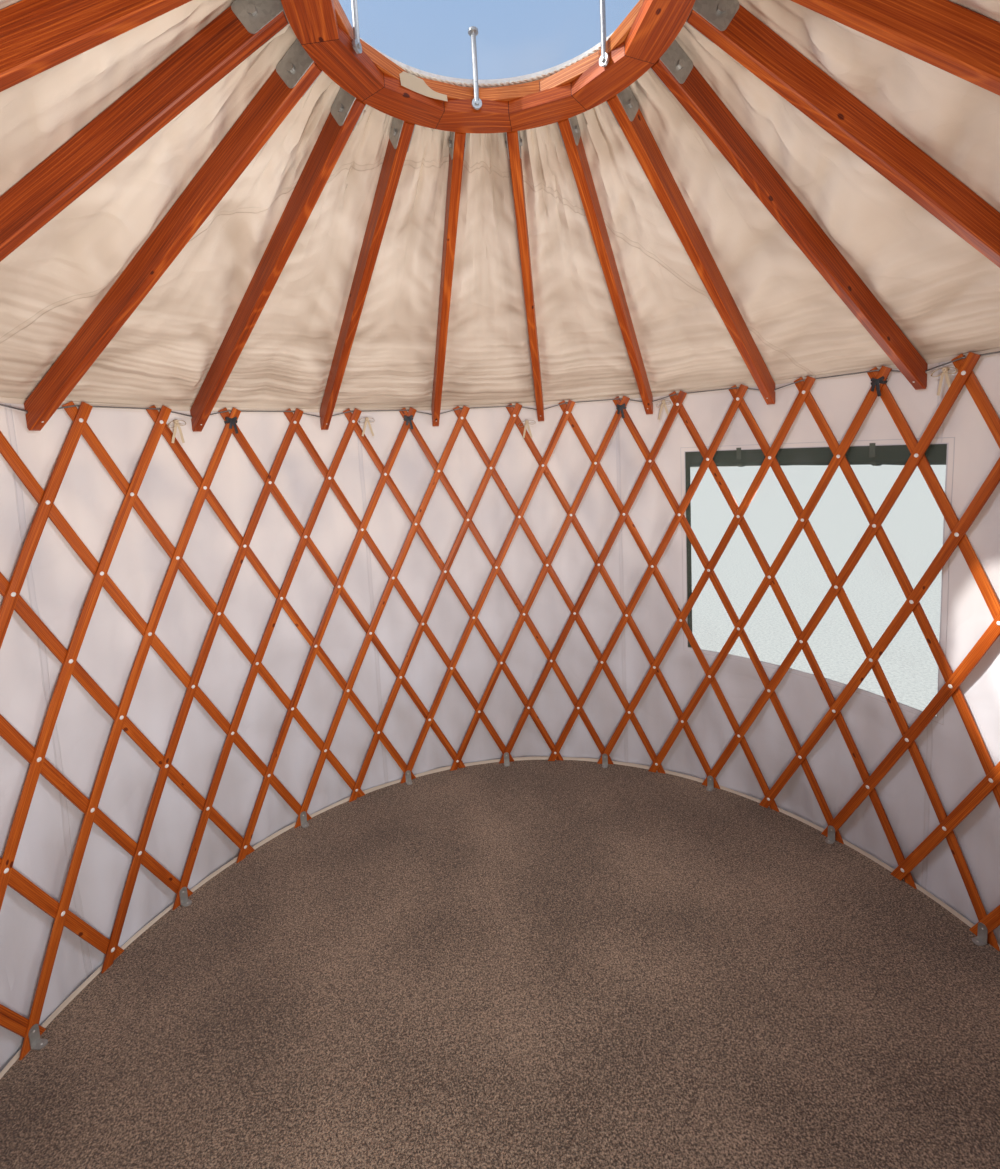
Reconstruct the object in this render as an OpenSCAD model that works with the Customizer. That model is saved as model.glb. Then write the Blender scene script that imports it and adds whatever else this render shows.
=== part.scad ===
// Round lattice-walled yurt: a wooden deck, a folding-style lattice wall, a taut
// cable round its top, rafters that rise from the cable to a laminated centre
// ring, a clear dome, and a fabric skin. Millimetres, +Z up, the origin at the
// centre of the deck's underside, the doorway towards -Y.
// Azimuths are degrees clockwise from +Y, seen from above.

/* [Floor] */
// Thickness of the round deck
deck_t = 60; // [30:1:120]
// Thickness of the carpet on the deck
carpet_t = 8; // [4:1:16]

/* [Lattice wall] */
// Radius of the circle of rivets, where the two layers of slats meet
lattice_r = 1800; // [1500:10:2200]
// Height from one row of rivets to the next
row_rise = 305; // [220:5:360]
// Rows of rivets from floor to top
rivet_rows = 8; // [8]
// Width of a slat
slat_w = 40; // [30:1:50]
// Thickness of a slat
slat_t = 10; // [7:0.5:14]
// Height of the slat ends above the top rivets
tail_up = 74; // [66:1:100]
// Height of the bottom rivets above the carpet
tail_down = 55; // [40:1:80]

/* [Roof frame] */
// Height of the centre ring's underside above the top rivets
ring_lift = 884; // [700:5:1100]
// Outer radius of the centre ring
ring_r = 505; // [440:5:600]
// Width of the ring's wood, measured outwards
ring_w = 103; // [80:1:130]
// Height of each of the ring's two faceted layers
layer_h = 38; // [30:1:45]
// Width of the round curb on top of them
curb_w = 60; // [52:1:80]
// Width of a rafter
rafter_w = 38; // [32:1:50]
// Depth of a rafter, square to its length
rafter_d = 89; // [75:1:110]
// Height of a rafter's lower tip below the top rivets
tip_drop = 50; // [40:1:60]
// Chamfer along a rafter's edges
ease = 4; // [2:0.5:6]
// Diameter of the cable round the top of the lattice
cable_d = 6; // [5:0.5:8]
// Height of the cable above the top rivets where it passes a rafter's notch
cable_seat = 23; // [15:1:30]
// Thickness of the steel of the hangers and foot brackets
plate_t = 3; // [2:0.5:5]
// Length of a hanger's ears along the rafter
ear_len = 98; // [80:1:120]
// Corner radius of a hanger's ears
ear_r = 14; // [8:1:20]
// Diameter of the bolt through each rafter's head
bolt_d = 12; // [8:1:14]
// Width of a foot bracket
foot_w = 34; // [24:1:50]
// Length of a foot bracket's leg on the floor
foot_leg = 42; // [30:1:60]

/* [Skin] */
// Thickness of the wall and roof cover
cover_t = 6; // [3:0.5:10]
// Drop of the roof cover's skirt over the wall
skirt_drop = 180; // [120:5:200]
// Height of a window opening
window_h = 1120; // [900:10:1150]
// Height of a window's upper edge below the top rivets
window_drop = 262; // [230:1:330]
// Height of the wall cover's hem above the ground
hem_z = 12; // [8:1:20]
// Radius of a rolled window flap
roll_r = 40; // [24:1:44]
// Rise of the clear dome above its rim
dome_rise = 250; // [180:5:280]
// Thickness of the dome's shell
dome_t = 4; // [3:0.5:6]
// Height of the dome's rim
rim_h = 24; // [16:1:40]
// Width of the dome's rim on the ring
rim_w = 50; // [40:1:58]
// Diameter of the rods between ring and dome
tie_d = 16; // [12:0.5:18]
// Distance of the rods from the ring's inner face
tie_off = 12; // [10:1:20]
// How far the outer rods of each three stand from the middle of their facet
tie_shift = 40; // [0:1:60]

/* [Door frame] */
// Width of a door post's and header's timber
post_w = 38; // [32:1:50]
// Depth of a door post, through the wall
post_d = 89; // [75:1:100]
// Height of the header above the doorway
header_h = 140; // [90:1:160]
// Height of the threshold
sill_h = 30; // [20:1:45]

/* [Hidden] */
$fn = 96;
gap = 0.3;                                   // clearance between seated pieces
bays = 36;                                   // lattice steps in the full circle
step = 360 / bays;
rafters = 18;
rafter_step = 360 / rafters;
door_bays = 3;                               // lattice steps left out at the doorway
door_half = door_bays * step / 2;
panel_bays = 3;                              // lattice steps in one panel
panels = (bays - door_bays) / panel_bays;
fuse = 1;                                    // how far crossing slats sink together
cell = step / 2;                             // azimuth from one rivet to the next along a slat

floor_z = deck_t + carpet_t;
foot_z = floor_z + tail_down;                // bottom rivets
head_z = foot_z + (rivet_rows - 1) * row_rise;   // top rivets
slat_run = 2 * lattice_r * sin(cell / 2);    // level distance between rivets of a slat
lean = atan2(slat_run, row_rise);            // slat's lean from upright
weave = (cable_d + slat_t) / 4;              // how far the cable sways to pass the forks
fork_half = cable_d / 2 + weave;             // level half width of the cable's crossing in a fork
cable_lift = slat_w / 2 / sin(lean) + fork_half * 0.86 / tan(lean) + cable_d / 4;

slack = 2;                                   // room between lattice and cover
skin_r = lattice_r + slat_t + slack;         // inner face of the wall cover
deck_r = skin_r - gap;
tip_r = skin_r - slack;                      // plumb end of a rafter
pitch = atan2(ring_lift + tip_drop, tip_r - ring_r);
plumb_d = rafter_d / cos(pitch);             // rafter's depth measured upright
ring_z = head_z + ring_lift;
ring_h = plumb_d;

// Height of the rafters' underside and top edge at radius r
function under_z(r) = head_z - tip_drop + (tip_r - r) * tan(pitch);
function top_z(r) = under_z(r) + plumb_d;

door_half_w = (lattice_r - slat_t) * sin(door_half);   // outer face of a door post
post_y = sqrt(pow(skin_r - gap, 2) - pow(door_half_w, 2));   // outer face of the door frame
rim_z = top_z(ring_r) + cover_t + gap;        // underside of the dome's rim
header_top = under_z(post_y / cos(rafter_step / 2)) - gap;
header_low = header_top - header_h;
post_top = top_z(skin_r) - gap;
dome_r = ring_r - rim_h;                     // foot of the dome's curve
ball = (pow(dome_r, 2) + pow(dome_rise, 2)) / 2 / dome_rise;   // radius of the dome's sphere
wall_end = 180 - asin((door_half_w + gap) / skin_r);   // azimuth where the wall cover stops
wall_top = top_z(skin_r + cover_t) - gap;
window_top = head_z - window_drop;
window_low = window_top - window_h;
window_az = [36, 73];                        // azimuths of the right window's sides
ring_sides = 12;                             // straight segments in the ring's inner face
facet = 360 / ring_sides;
ring_turn = rafter_step / 2;                 // azimuth of a joint of the lower layer

SIDES = ["rear", "right", "left"];
PLAIN = [[-107, -59.3], [-59.3, -11.7], [-11.7, 36], [73, 119], [119, wall_end],
    [-wall_end, -144]];
BAYS = [window_az, [window_az[0] - 180, window_az[1] - 180]];
roof_parts = 6;

// Turns its children to azimuth az
module at(az) rotate([0, 0, -az]) children();

// Sweeps a profile (radius, height) from azimuth a0 to a1
module sweep(a0, a1) rotate([0, 0, 90 - a1]) rotate_extrude(angle = a1 - a0, $fn = 360) children();

// A wedge of plan between two azimuths, over the full height of the lattice
module wedge(a0, a1) {
    far = lattice_r * 1.2;
    mid = (a0 + a1) / 2;
    at(mid) linear_extrude(head_z + 2 * tail_up)
        polygon([[0, 0], [-far * tan((a1 - a0) / 2), far], [far * tan((a1 - a0) / 2), far]]);
}

// Boards on joists, inside a rim as deep as both
module floor_deck() color("peru") union() {
    board = deck_t / 3;
    pitch_y = deck_r / 4.5;
    translate([0, 0, deck_t - board]) cylinder(r = deck_r, h = board, $fn = 180);
    difference() {
        cylinder(r = deck_r, h = deck_t, $fn = 180);
        translate([0, 0, -1]) cylinder(r = deck_r - post_w, h = deck_t - board + 1, $fn = 180);
    }
    intersection() {
        cylinder(r = deck_r - 1, h = deck_t, $fn = 180);
        union() for (i = [-4:4]) translate([-deck_r, i * pitch_y - post_w / 2, 0])
            cube([2 * deck_r, post_w, deck_t - board + 1]);
    }
}

module floor_carpet() color("dimgray") translate([0, 0, deck_t]) difference() {
    cylinder(r = deck_r, h = carpet_t, $fn = 180);
    translate([-door_half_w - gap, -deck_r - 1, -1])
        cube([2 * (door_half_w + gap), deck_r + 1 - post_y + post_d + gap, carpet_t + 2]);
}

// One straight stretch of slat between two rivets; side is 1 for the slats that
// rise clockwise, on the room side, and -1 for the ones behind them
module stretch(az, z, side, len, shift = 0) {
    r = (lattice_r - side * (slat_t - fuse) / 2) * cos(cell / 2);
    at(az) translate([0, r, z]) rotate([0, side * lean, 0])
        translate([0, 0, shift]) cube([slat_w, slat_t, len], center = true);
}

// Three bays of lattice, cut through the middle of the crossings at each side;
// the slats are cut square at the top and level at the floor
module lattice_panel(index) {
    a0 = door_half - 180 + index * panel_bays * step;
    a1 = a0 + panel_bays * step;
    run = norm([slat_run, row_rise]);
    tail = (tail_up - slat_w / 2 * sin(lean)) / cos(lean);
    foot = (tail_down + slat_w) / cos(lean);
    color("sienna") intersection() {
        union() for (i = [-1:2 * panel_bays]) for (j = [-1:rivet_rows - 1]) {
            az = a0 + (i + 0.5) * cell;
            z = foot_z + (j + 0.5) * row_rise;
            side = (i + j + 2) % 2 == (rivet_rows - 1) % 2 ? 1 : -1;
            if (j == -1) stretch(az, z, side, foot + slat_t, (run - foot + slat_t) / 2);
            else if (j == rivet_rows - 1) stretch(az, z, side, tail + slat_t, (tail - run - slat_t) / 2);
            else stretch(az, z, side, run + 2 * slat_t);
        }
        wedge(a0, a1);
        translate([0, 0, floor_z]) cylinder(r = lattice_r * 1.1, h = head_z + 2 * tail_up - floor_z);
    }
}

function spot(az, r, z) = [r * sin(az), r * cos(az), z];

// The points that the cable passes between two forks: behind one fork's slat,
// down to the notch of a rafter or straight on, and in front of the next slat
function cable_span(i) = let (az = door_half - 180 + i * step, turn = (az + cell) / rafter_step,
    seat = abs(turn - floor(turn) - 0.5) < 0.1, sway = fork_half / lattice_r * 180 / PI,
    high = head_z + cable_lift)
    [spot(az + sway, lattice_r + weave, high),
     spot(az + cell, seat ? lattice_r : lattice_r * cos(cell), seat ? head_z + cable_seat : high),
     spot(az + step - sway, lattice_r - weave, high)];

// The cable ends in a hole through each door post, with a stop on the post's inner face
module top_cable() {
    sides = 8;
    end_x = door_half_w - post_w;
    end_z = head_z + cable_seat;
    mid = [for (i = [0:bays - door_bays - 1]) each cable_span(i)];
    half = lattice_r * cos(door_half);
    way = concat([[-end_x, -half, end_z], [-door_half_w - slack, -half, end_z]], mid,
        [[door_half_w + slack, -half, end_z], [end_x, -half, end_z]]);
    last = len(way) - 1;
    ring = [for (i = [0:last]) let (p = way[i], q = way[min(i + 1, last)] - way[max(i - 1, 0)],
        side = [q[1], -q[0], 0] / norm([q[1], -q[0]]), up = cross(side, q / norm(q)))
        for (k = [0:sides - 1]) let (turn = 360 * k / sides)
            p - cable_d / 2 * (side * cos(turn) + up * sin(turn))];
    skin = [for (i = [0:last - 1]) for (k = [0:sides - 1]) let (n = (k + 1) % sides)
        [i * sides + k, i * sides + n, (i + 1) * sides + n, (i + 1) * sides + k]];
    ends = [[for (k = [sides - 1:-1:0]) k], [for (k = [0:sides - 1]) last * sides + k]];
    color("gray") polyhedron(ring, concat(skin, ends));
}

module foot_brackets() color("darkgray") {
    n = floor((180 - door_half) / rafter_step);
    rise = tail_down + foot_w / 2;
    for (i = [-n:n]) at(i * rafter_step)
        translate([0, lattice_r - slat_t - plate_t - gap, floor_z]) union() {
            translate([-foot_w / 2, 0, 0]) cube([foot_w, plate_t, rise - foot_w / 2]);
            translate([0, 0, rise - foot_w / 2]) rotate([-90, 0, 0]) cylinder(d = foot_w, h = plate_t);
            translate([-foot_w / 2, plate_t - foot_leg + foot_w / 2, 0])
                cube([foot_w, foot_leg - foot_w / 2, plate_t]);
            translate([0, plate_t - foot_leg + foot_w / 2, 0]) cylinder(d = foot_w, h = plate_t);
        }
}

// A rafter in its upright plane: x outwards from the yurt's centre, y up; the
// foot is plumb, its tip rounded off, with a notch that the cable lies in
module rafter_side() {
    head_r = ring_r + plate_t + 2 * gap;
    seat_z = head_z + cable_seat;
    hold = cable_d / 2 + gap;
    difference() {
        polygon([[head_r, under_z(head_r)],
            [tip_r - 4.5 * ease, under_z(tip_r - 4.5 * ease)],
            [tip_r - 1.5 * ease, under_z(tip_r - 1.5 * ease) + ease],
            [tip_r, under_z(tip_r) + 4.5 * ease], [tip_r, top_z(tip_r)], [head_r, top_z(head_r)]]);
        translate([lattice_r, seat_z]) circle(r = hold, $fn = 32);
        polygon([[lattice_r, seat_z - hold], [tip_r + 1, seat_z - 2 * hold],
            [tip_r + 1, seat_z + 2 * hold], [lattice_r, seat_z + hold]]);
    }
}

// Places its children square to the rafter's length: x across, y from the
// underside up, at the distance s down from the ring
module along_rafter(s) translate([0, ring_r + s * cos(pitch), under_z(ring_r) - s * sin(pitch)])
    rotate([-pitch, 0, 0]) rotate([90, 0, 0]) children();

// Where the bolt passes, from the ring down the rafter
bolt_s = ear_len * 0.62;

module rafter() difference() {
    intersection() {
        rotate([90, 0, 90]) translate([0, 0, -rafter_w / 2]) linear_extrude(rafter_w) rafter_side();
        along_rafter(tip_r) translate([-rafter_w / 2, 0, 0]) linear_extrude(2 * tip_r) polygon([
            [ease, 0], [rafter_w - ease, 0], [rafter_w, ease], [rafter_w, rafter_d - ease],
            [rafter_w - ease, rafter_d], [ease, rafter_d], [0, rafter_d - ease], [0, ease]]);
    }
    along_rafter(bolt_s) translate([-rafter_w, rafter_d / 2, 0]) rotate([0, 90, 0])
        cylinder(d = bolt_d + 2 * gap, h = 2 * rafter_w, $fn = 32);
}

module rafters(side) color("sienna") {
    first = side == 0 ? -2.5 : side == 1 ? 3.5 : -8.5;
    for (i = [0:5]) at((first + i) * rafter_step) rafter();
}

// A hanger's ear in the rafter's upright plane, its far end square to the
// rafter with round corners
module hanger_ear() {
    z = under_z(ring_r);
    low = ease;
    high = rafter_d - ease;
    translate([ring_r + gap, z]) intersection() {
        rotate(-pitch) union() {
            translate([-ear_len, low]) square([2 * ear_len - ear_r, high - low]);
            translate([0, low + ear_r]) square([ear_len, high - low - 2 * ear_r]);
            for (y = [low + ear_r, high - ear_r]) translate([ear_len - ear_r, y]) circle(r = ear_r, $fn = 32);
        }
        translate([0, -ear_len]) square([2 * ear_len, 2 * ear_len + plumb_d]);
    }
}

// A folded plate on the ring, an ear each side of the rafter and the bolt
module rafter_hanger() {
    side_x = rafter_w / 2 + gap;
    nut = bolt_d * 0.6;
    translate([-side_x - plate_t, ring_r + gap, under_z(ring_r) + ease])
        cube([2 * (side_x + plate_t), plate_t, plumb_d - 2 * ease]);
    for (s = [-1, 1]) translate([s * (side_x + plate_t / 2) - plate_t / 2, 0, 0])
        rotate([90, 0, 90]) linear_extrude(plate_t) hanger_ear();
    along_rafter(bolt_s) translate([-side_x - plate_t - nut, rafter_d / 2, 0]) rotate([0, 90, 0]) {
        cylinder(d = bolt_d, h = 2 * (side_x + plate_t + nut), $fn = 32);
        cylinder(d = 2 * bolt_d, h = nut, $fn = 6);
        translate([0, 0, 2 * (side_x + plate_t) + nut]) cylinder(d = 2 * bolt_d, h = nut, $fn = 6);
    }
}

module rafter_hangers() color("silver") for (i = [0:rafters - 1])
    at((i + 0.5) * rafter_step) union() rafter_hanger();

// One faceted layer of the laminated ring, its inner face made of straight segments
module ring_layer(index) color("sienna") translate([0, 0, ring_z + index * layer_h]) difference() {
    cylinder(r = ring_r, h = layer_h, $fn = 180);
    translate([0, 0, -1]) at(ring_turn + index * facet / 2)
        cylinder(r = ring_r - ring_w, h = layer_h + 2, $fn = ring_sides);
}

// The round curb on the faceted layers, as high as the rafters' heads
module ring_curb() color("sienna") translate([0, 0, ring_z + 2 * layer_h]) difference() {
    h = ring_h - 2 * layer_h;
    cylinder(r = ring_r, h = h, $fn = 180);
    translate([0, 0, -1]) cylinder(r = ring_r - curb_w, h = h + 2, $fn = 180);
}

// An upright rod with a flat eye bolted to the ring's inner face and a round
// foot under the dome, shift to the side of the facet's middle
module dome_tie(shift) {
    r = (ring_r - ring_w) * cos(facet / 2) - tie_off;
    eye_z = ring_z + layer_h / 2;
    eye_d = 2 * tie_d;
    reach = norm([r, shift]) + eye_d / 2;
    top = rim_z + rim_h + sqrt(pow(ball - dome_t, 2) - pow(reach, 2)) - ball + dome_rise - gap;
    translate([shift, r, eye_z]) union() {
        cylinder(d = tie_d, h = top - eye_z, $fn = 24);
        translate([0, 0, top - eye_z - tie_d / 2]) cylinder(d = eye_d, h = tie_d / 2, $fn = 32);
        rotate([-90, 0, 0]) {
            translate([0, 0, -tie_d / 4]) cylinder(d = eye_d, h = tie_d / 2, $fn = 32);
            cylinder(d = tie_d / 2, h = tie_off - gap, $fn = 24);
            translate([0, 0, -tie_d * 0.6]) cylinder(d = tie_d * 0.8, h = tie_d, $fn = 6);
        }
    }
}

// Two sets of three rods, one on each side of the ring
module dome_ties() color("lightgray") for (turn = [0, 180]) for (i = [-1:1])
    at(turn + ring_turn - facet / 2 + 2 * i * facet) dome_tie(i * tie_shift);

module dome_rim() color("whitesmoke") translate([0, 0, rim_z]) rotate_extrude($fn = 180)
    polygon([[ring_r - rim_w, 0], [ring_r, 0], [ring_r, rim_h * 0.7], [ring_r - rim_h * 0.3, rim_h],
        [ring_r - rim_w, rim_h]]);

// A spherical cap with a flat flange on the rim
module dome() color("lightcyan", 0.4) translate([0, 0, rim_z + rim_h]) rotate_extrude($fn = 180) {
    intersection() {
        difference() {
            translate([0, dome_rise - ball]) circle(r = ball, $fn = 360);
            translate([0, dome_rise - ball]) circle(r = ball - dome_t, $fn = 360);
        }
        square([dome_r, dome_rise]);
    }
    translate([dome_r - 2 * dome_t, 0]) square([rim_h + 2 * dome_t - rim_h * 0.3, dome_t]);
}

module wall_arc(span, z0, z1, t = cover_t) sweep(span[0], span[1])
    translate([skin_r, z0]) square([t, z1 - z0]);

module wall_cover(index) color("ghostwhite") wall_arc(PLAIN[index], hem_z, wall_top);

module wall_above_window(bay) color("ghostwhite") wall_arc(BAYS[bay], window_top, wall_top);

module wall_below_window(bay) color("ghostwhite") wall_arc(BAYS[bay], hem_z, window_low);

module window_panes() color("lightcyan", 0.4) for (b = BAYS) wall_arc(b, window_low, window_top, cover_t / 2);

module window_rolls() color("darkslategray") for (b = BAYS) sweep(b[0], b[1])
    translate([skin_r + cover_t / 2 + roll_r + gap, window_top - 1.25 * roll_r]) circle(r = roll_r, $fn = 16);

// A slice of the roof cover: the cone on the rafters, the turn over the ring's
// top and the skirt outside the wall
module roof_cover(index) {
    span = 360 / roof_parts;
    rise = cover_t / cos(pitch);
    eave = skin_r + cover_t + gap;
    crown = top_z(ring_r) + gap;
    crown_r = ring_r - cover_t * tan(pitch / 2);
    color("linen") sweep(180 + (index - 0.5) * span, 180 + (index + 0.5) * span) polygon([
        [ring_r - curb_w, crown], [ring_r, crown],
        [eave, top_z(eave) + gap], [eave, top_z(eave) + gap - skirt_drop],
        [eave + cover_t, top_z(eave) + gap - skirt_drop],
        [eave + cover_t, top_z(eave + cover_t) + gap + rise],
        [crown_r, crown + cover_t], [ring_r - curb_w, crown + cover_t]]);
}

// Posts with a hole for the end of the cable
module door_posts() color("sienna") for (s = [-1, 1])
    translate([s * (door_half_w - post_w / 2) - post_w / 2, -post_y, deck_t]) difference() {
        cube([post_w, post_d, post_top - deck_t]);
        translate([-1, post_y - lattice_r * cos(door_half), head_z + cable_seat - deck_t])
            rotate([0, 90, 0]) cylinder(d = cable_d + 2 * gap, h = post_w + 2, $fn = 32);
    }

module door_header() color("sienna")
    translate([-door_half_w + post_w, -post_y, header_low])
        cube([2 * (door_half_w - post_w), post_d, header_h]);

// A sill with a sloping outer edge
module door_threshold() color("sienna")
    translate([-door_half_w + post_w, -post_y, deck_t]) rotate([90, 0, 90])
        linear_extrude(2 * (door_half_w - post_w))
            polygon([[0, 0], [post_d, 0], [post_d, sill_h], [sill_h, sill_h], [0, sill_h / 2]]);

floor_deck();
floor_carpet();
for (i = [0:panels - 1]) lattice_panel(i);
top_cable();
foot_brackets();
for (i = [0:2]) rafters(i);
rafter_hangers();
ring_layer(0);  // ring_lower
ring_layer(1);  // ring_middle
ring_curb();  // ring_upper
dome_ties();
dome_rim();
dome();
for (i = [0:len(PLAIN) - 1]) wall_cover(i);
wall_above_window(0);  // wall_above_window_right
wall_below_window(0);  // wall_below_window_right
wall_above_window(1);  // wall_above_window_left
wall_below_window(1);  // wall_below_window_left
window_panes();
window_rolls();
for (i = [0:roof_parts - 1]) roof_cover(i);
door_posts();
door_header();
door_threshold();
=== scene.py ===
"""Looks of a round lattice-walled yurt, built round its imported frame.

Metres, +Z up, the doorway towards -Y. Azimuths run clockwise from +Y, seen from above.
A sheet or slat is first made flat, with x along the wall, y outwards and z up, and is then
bent round the yurt.
"""

import enum
import logging
import math
from collections.abc import Callable, Iterable, Sequence
from dataclasses import dataclass, field

import bmesh
import bpy
from mathutils import Matrix, Vector, noise


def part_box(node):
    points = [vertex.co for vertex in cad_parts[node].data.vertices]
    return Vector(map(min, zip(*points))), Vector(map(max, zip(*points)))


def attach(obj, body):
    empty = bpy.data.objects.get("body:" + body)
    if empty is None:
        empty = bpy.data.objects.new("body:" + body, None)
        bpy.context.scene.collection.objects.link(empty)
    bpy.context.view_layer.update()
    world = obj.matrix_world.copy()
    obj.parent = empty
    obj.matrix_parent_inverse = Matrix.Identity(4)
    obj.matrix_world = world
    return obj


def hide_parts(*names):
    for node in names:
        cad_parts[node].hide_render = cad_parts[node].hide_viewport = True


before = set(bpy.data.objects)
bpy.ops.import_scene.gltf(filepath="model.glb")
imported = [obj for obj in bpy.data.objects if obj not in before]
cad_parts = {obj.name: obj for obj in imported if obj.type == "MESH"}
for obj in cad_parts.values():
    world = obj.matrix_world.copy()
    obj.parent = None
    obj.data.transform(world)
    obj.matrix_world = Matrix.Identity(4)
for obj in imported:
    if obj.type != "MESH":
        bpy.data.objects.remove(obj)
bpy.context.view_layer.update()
BODY = "root"
LOG = logging.getLogger("yurt")

Colour = tuple[float, float, float]


def smooth(low: float, high: float, value: float) -> float:
    """Returns 0 below low, 1 above high, and an S curve between."""
    t = min(1.0, max(0.0, (value - low) / (high - low)))
    return t * t * (3 - 2 * t)


def ridge(x: float, y: float, z: float = 0.0) -> float:
    """Returns a value from 0 to 1 that peaks along thin wandering lines."""
    return (1 - min(1.0, abs(noise.noise(Vector((x, y, z))) * 2.2))) ** 2


@dataclass(frozen=True)
class Plan:
    """The sizes that several sub-assemblies share.

    Attributes:
        lattice_r: radius of the circle of rivets.
        row_rise: height from one row of rivets to the next.
        rows: number of rows of rivets.
        cell: azimuth from one rivet to the next along a slat.
        door_half: azimuth from the middle of the doorway to a post.
        skin_r: inner face of the wall cover.
        cover_t: thickness of the cover's solids.
        tail_down: height of the bottom rivets over the carpet.
        tip_drop: how far the rafters' underside passes below the top rivets.
        tip_r: radius of that place.
        ring_r: the ring's outer radius.
        ring_w: width of the ring's two lower layers.
        layer_h: height of one layer of the ring.
        curb_w: width of the ring's top layer.
        rafter_w: thickness of a rafter.
        rafters: number of rafters.
        window: azimuths of the right window's sides; the left one is half a turn away.
        floor_z: top of the carpet.
        ring_z: underside of the ring.
        ring_top: top of the ring.
        window_low: bottom of the windows.
        window_top: top of the windows.
        hem_z: foot of the wall cover.
        wall_top: top of the wall cover.
    """

    lattice_r: float = 1.800
    row_rise: float = 0.305
    rows: int = 8
    cell: float = math.radians(5)
    door_half: float = math.radians(15)
    skin_r: float = 1.812
    cover_t: float = 0.006
    tail_down: float = 0.055
    tip_drop: float = 0.050
    tip_r: float = 1.810
    ring_r: float = 0.505
    ring_w: float = 0.103
    layer_h: float = 0.038
    curb_w: float = 0.060
    rafter_w: float = 0.038
    rafters: int = 18
    window: tuple[float, float] = (math.radians(36), math.radians(73))
    floor_z: float = field(default_factory=lambda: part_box("floor_carpet")[1].z)
    ring_z: float = field(default_factory=lambda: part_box("ring_lower")[0].z)
    ring_top: float = field(default_factory=lambda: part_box("ring_upper")[1].z)
    window_low: float = field(default_factory=lambda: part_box("window_panes")[0].z)
    window_top: float = field(default_factory=lambda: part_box("window_panes")[1].z)
    hem_z: float = field(default_factory=lambda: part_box("wall_cover_1")[0].z)
    wall_top: float = field(default_factory=lambda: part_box("wall_cover_1")[1].z)

    @property
    def foot_z(self) -> float:
        """Height of the bottom rivets."""
        return self.floor_z + self.tail_down

    @property
    def head_z(self) -> float:
        """Height of the top rivets."""
        return self.foot_z + (self.rows - 1) * self.row_rise

    @property
    def bay(self) -> float:
        """Azimuth from one rafter to the next."""
        return 2 * math.pi / self.rafters

    @property
    def pitch(self) -> float:
        """Slope of the rafters."""
        return math.atan2(self.ring_z - self.head_z + self.tip_drop, self.tip_r - self.ring_r)

    @property
    def wall_end(self) -> float:
        """Azimuth where the wall cover stops at the door frame."""
        return math.pi - math.asin(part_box("door_posts")[1].x / self.skin_r)

    def under_z(self, r: float) -> float:
        """Returns the height of the rafters' underside at radius r."""
        return self.head_z - self.tip_drop + (self.tip_r - r) * math.tan(self.pitch)

    def top_z(self, r: float) -> float:
        """Returns the height of the rafters' top edge at radius r."""
        return self.under_z(r) + self.ring_top - self.ring_z


def spot(az: float, r: float, z: float) -> Vector:
    """Returns the point at an azimuth in radians, a radius and a height."""
    return Vector((r * math.sin(az), r * math.cos(az), z))


class Wire:
    """A number that runs through a material's nodes, and adds them as it is reckoned with."""

    def __init__(self, shader: "Shader", socket: bpy.types.NodeSocket) -> None:
        """Keeps the material and the output socket that carries the number."""
        self.shader = shader
        self.socket = socket

    def step(self, operation: str, *values: "Wire | float") -> "Wire":
        """Returns the result of a Math node on these values."""
        node = self.shader.node("ShaderNodeMath", {"operation": operation}, dict(enumerate(values)))
        return Wire(self.shader, node.outputs[0])

    def __add__(self, other: "Wire | float") -> "Wire":
        """Returns the sum."""
        return self.step("ADD", self, other)

    __radd__ = __add__

    def __sub__(self, other: "Wire | float") -> "Wire":
        """Returns the difference."""
        return self.step("SUBTRACT", self, other)

    def __rsub__(self, other: float) -> "Wire":
        """Returns a plain number less this one."""
        return self.step("SUBTRACT", other, self)

    def __mul__(self, other: "Wire | float") -> "Wire":
        """Returns the product."""
        return self.step("MULTIPLY", self, other)

    __rmul__ = __mul__

    def __truediv__(self, other: "Wire | float") -> "Wire":
        """Returns the quotient."""
        return self.step("DIVIDE", self, other)

    def __pow__(self, other: "Wire | float") -> "Wire":
        """Returns the power."""
        return self.step("POWER", self, other)

    def apply(self, operation: str) -> "Wire":
        """Returns the result of a Math node with this one value, such as SINE or FLOOR."""
        return self.step(operation, self)

    def most(self, other: "Wire | float") -> "Wire":
        """Returns the larger of the two."""
        return self.step("MAXIMUM", self, other)

    def between(self, low: float, high: float) -> "Wire":
        """Returns 0 below low, 1 above high, and an S curve between; low may be the larger."""
        node = self.shader.node("ShaderNodeMapRange", {"interpolation_type": "SMOOTHSTEP"},
                                {"Value": self, "From Min": low, "From Max": high})
        return Wire(self.shader, node.outputs[0])


Socketed = Wire | bpy.types.NodeSocket


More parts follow.
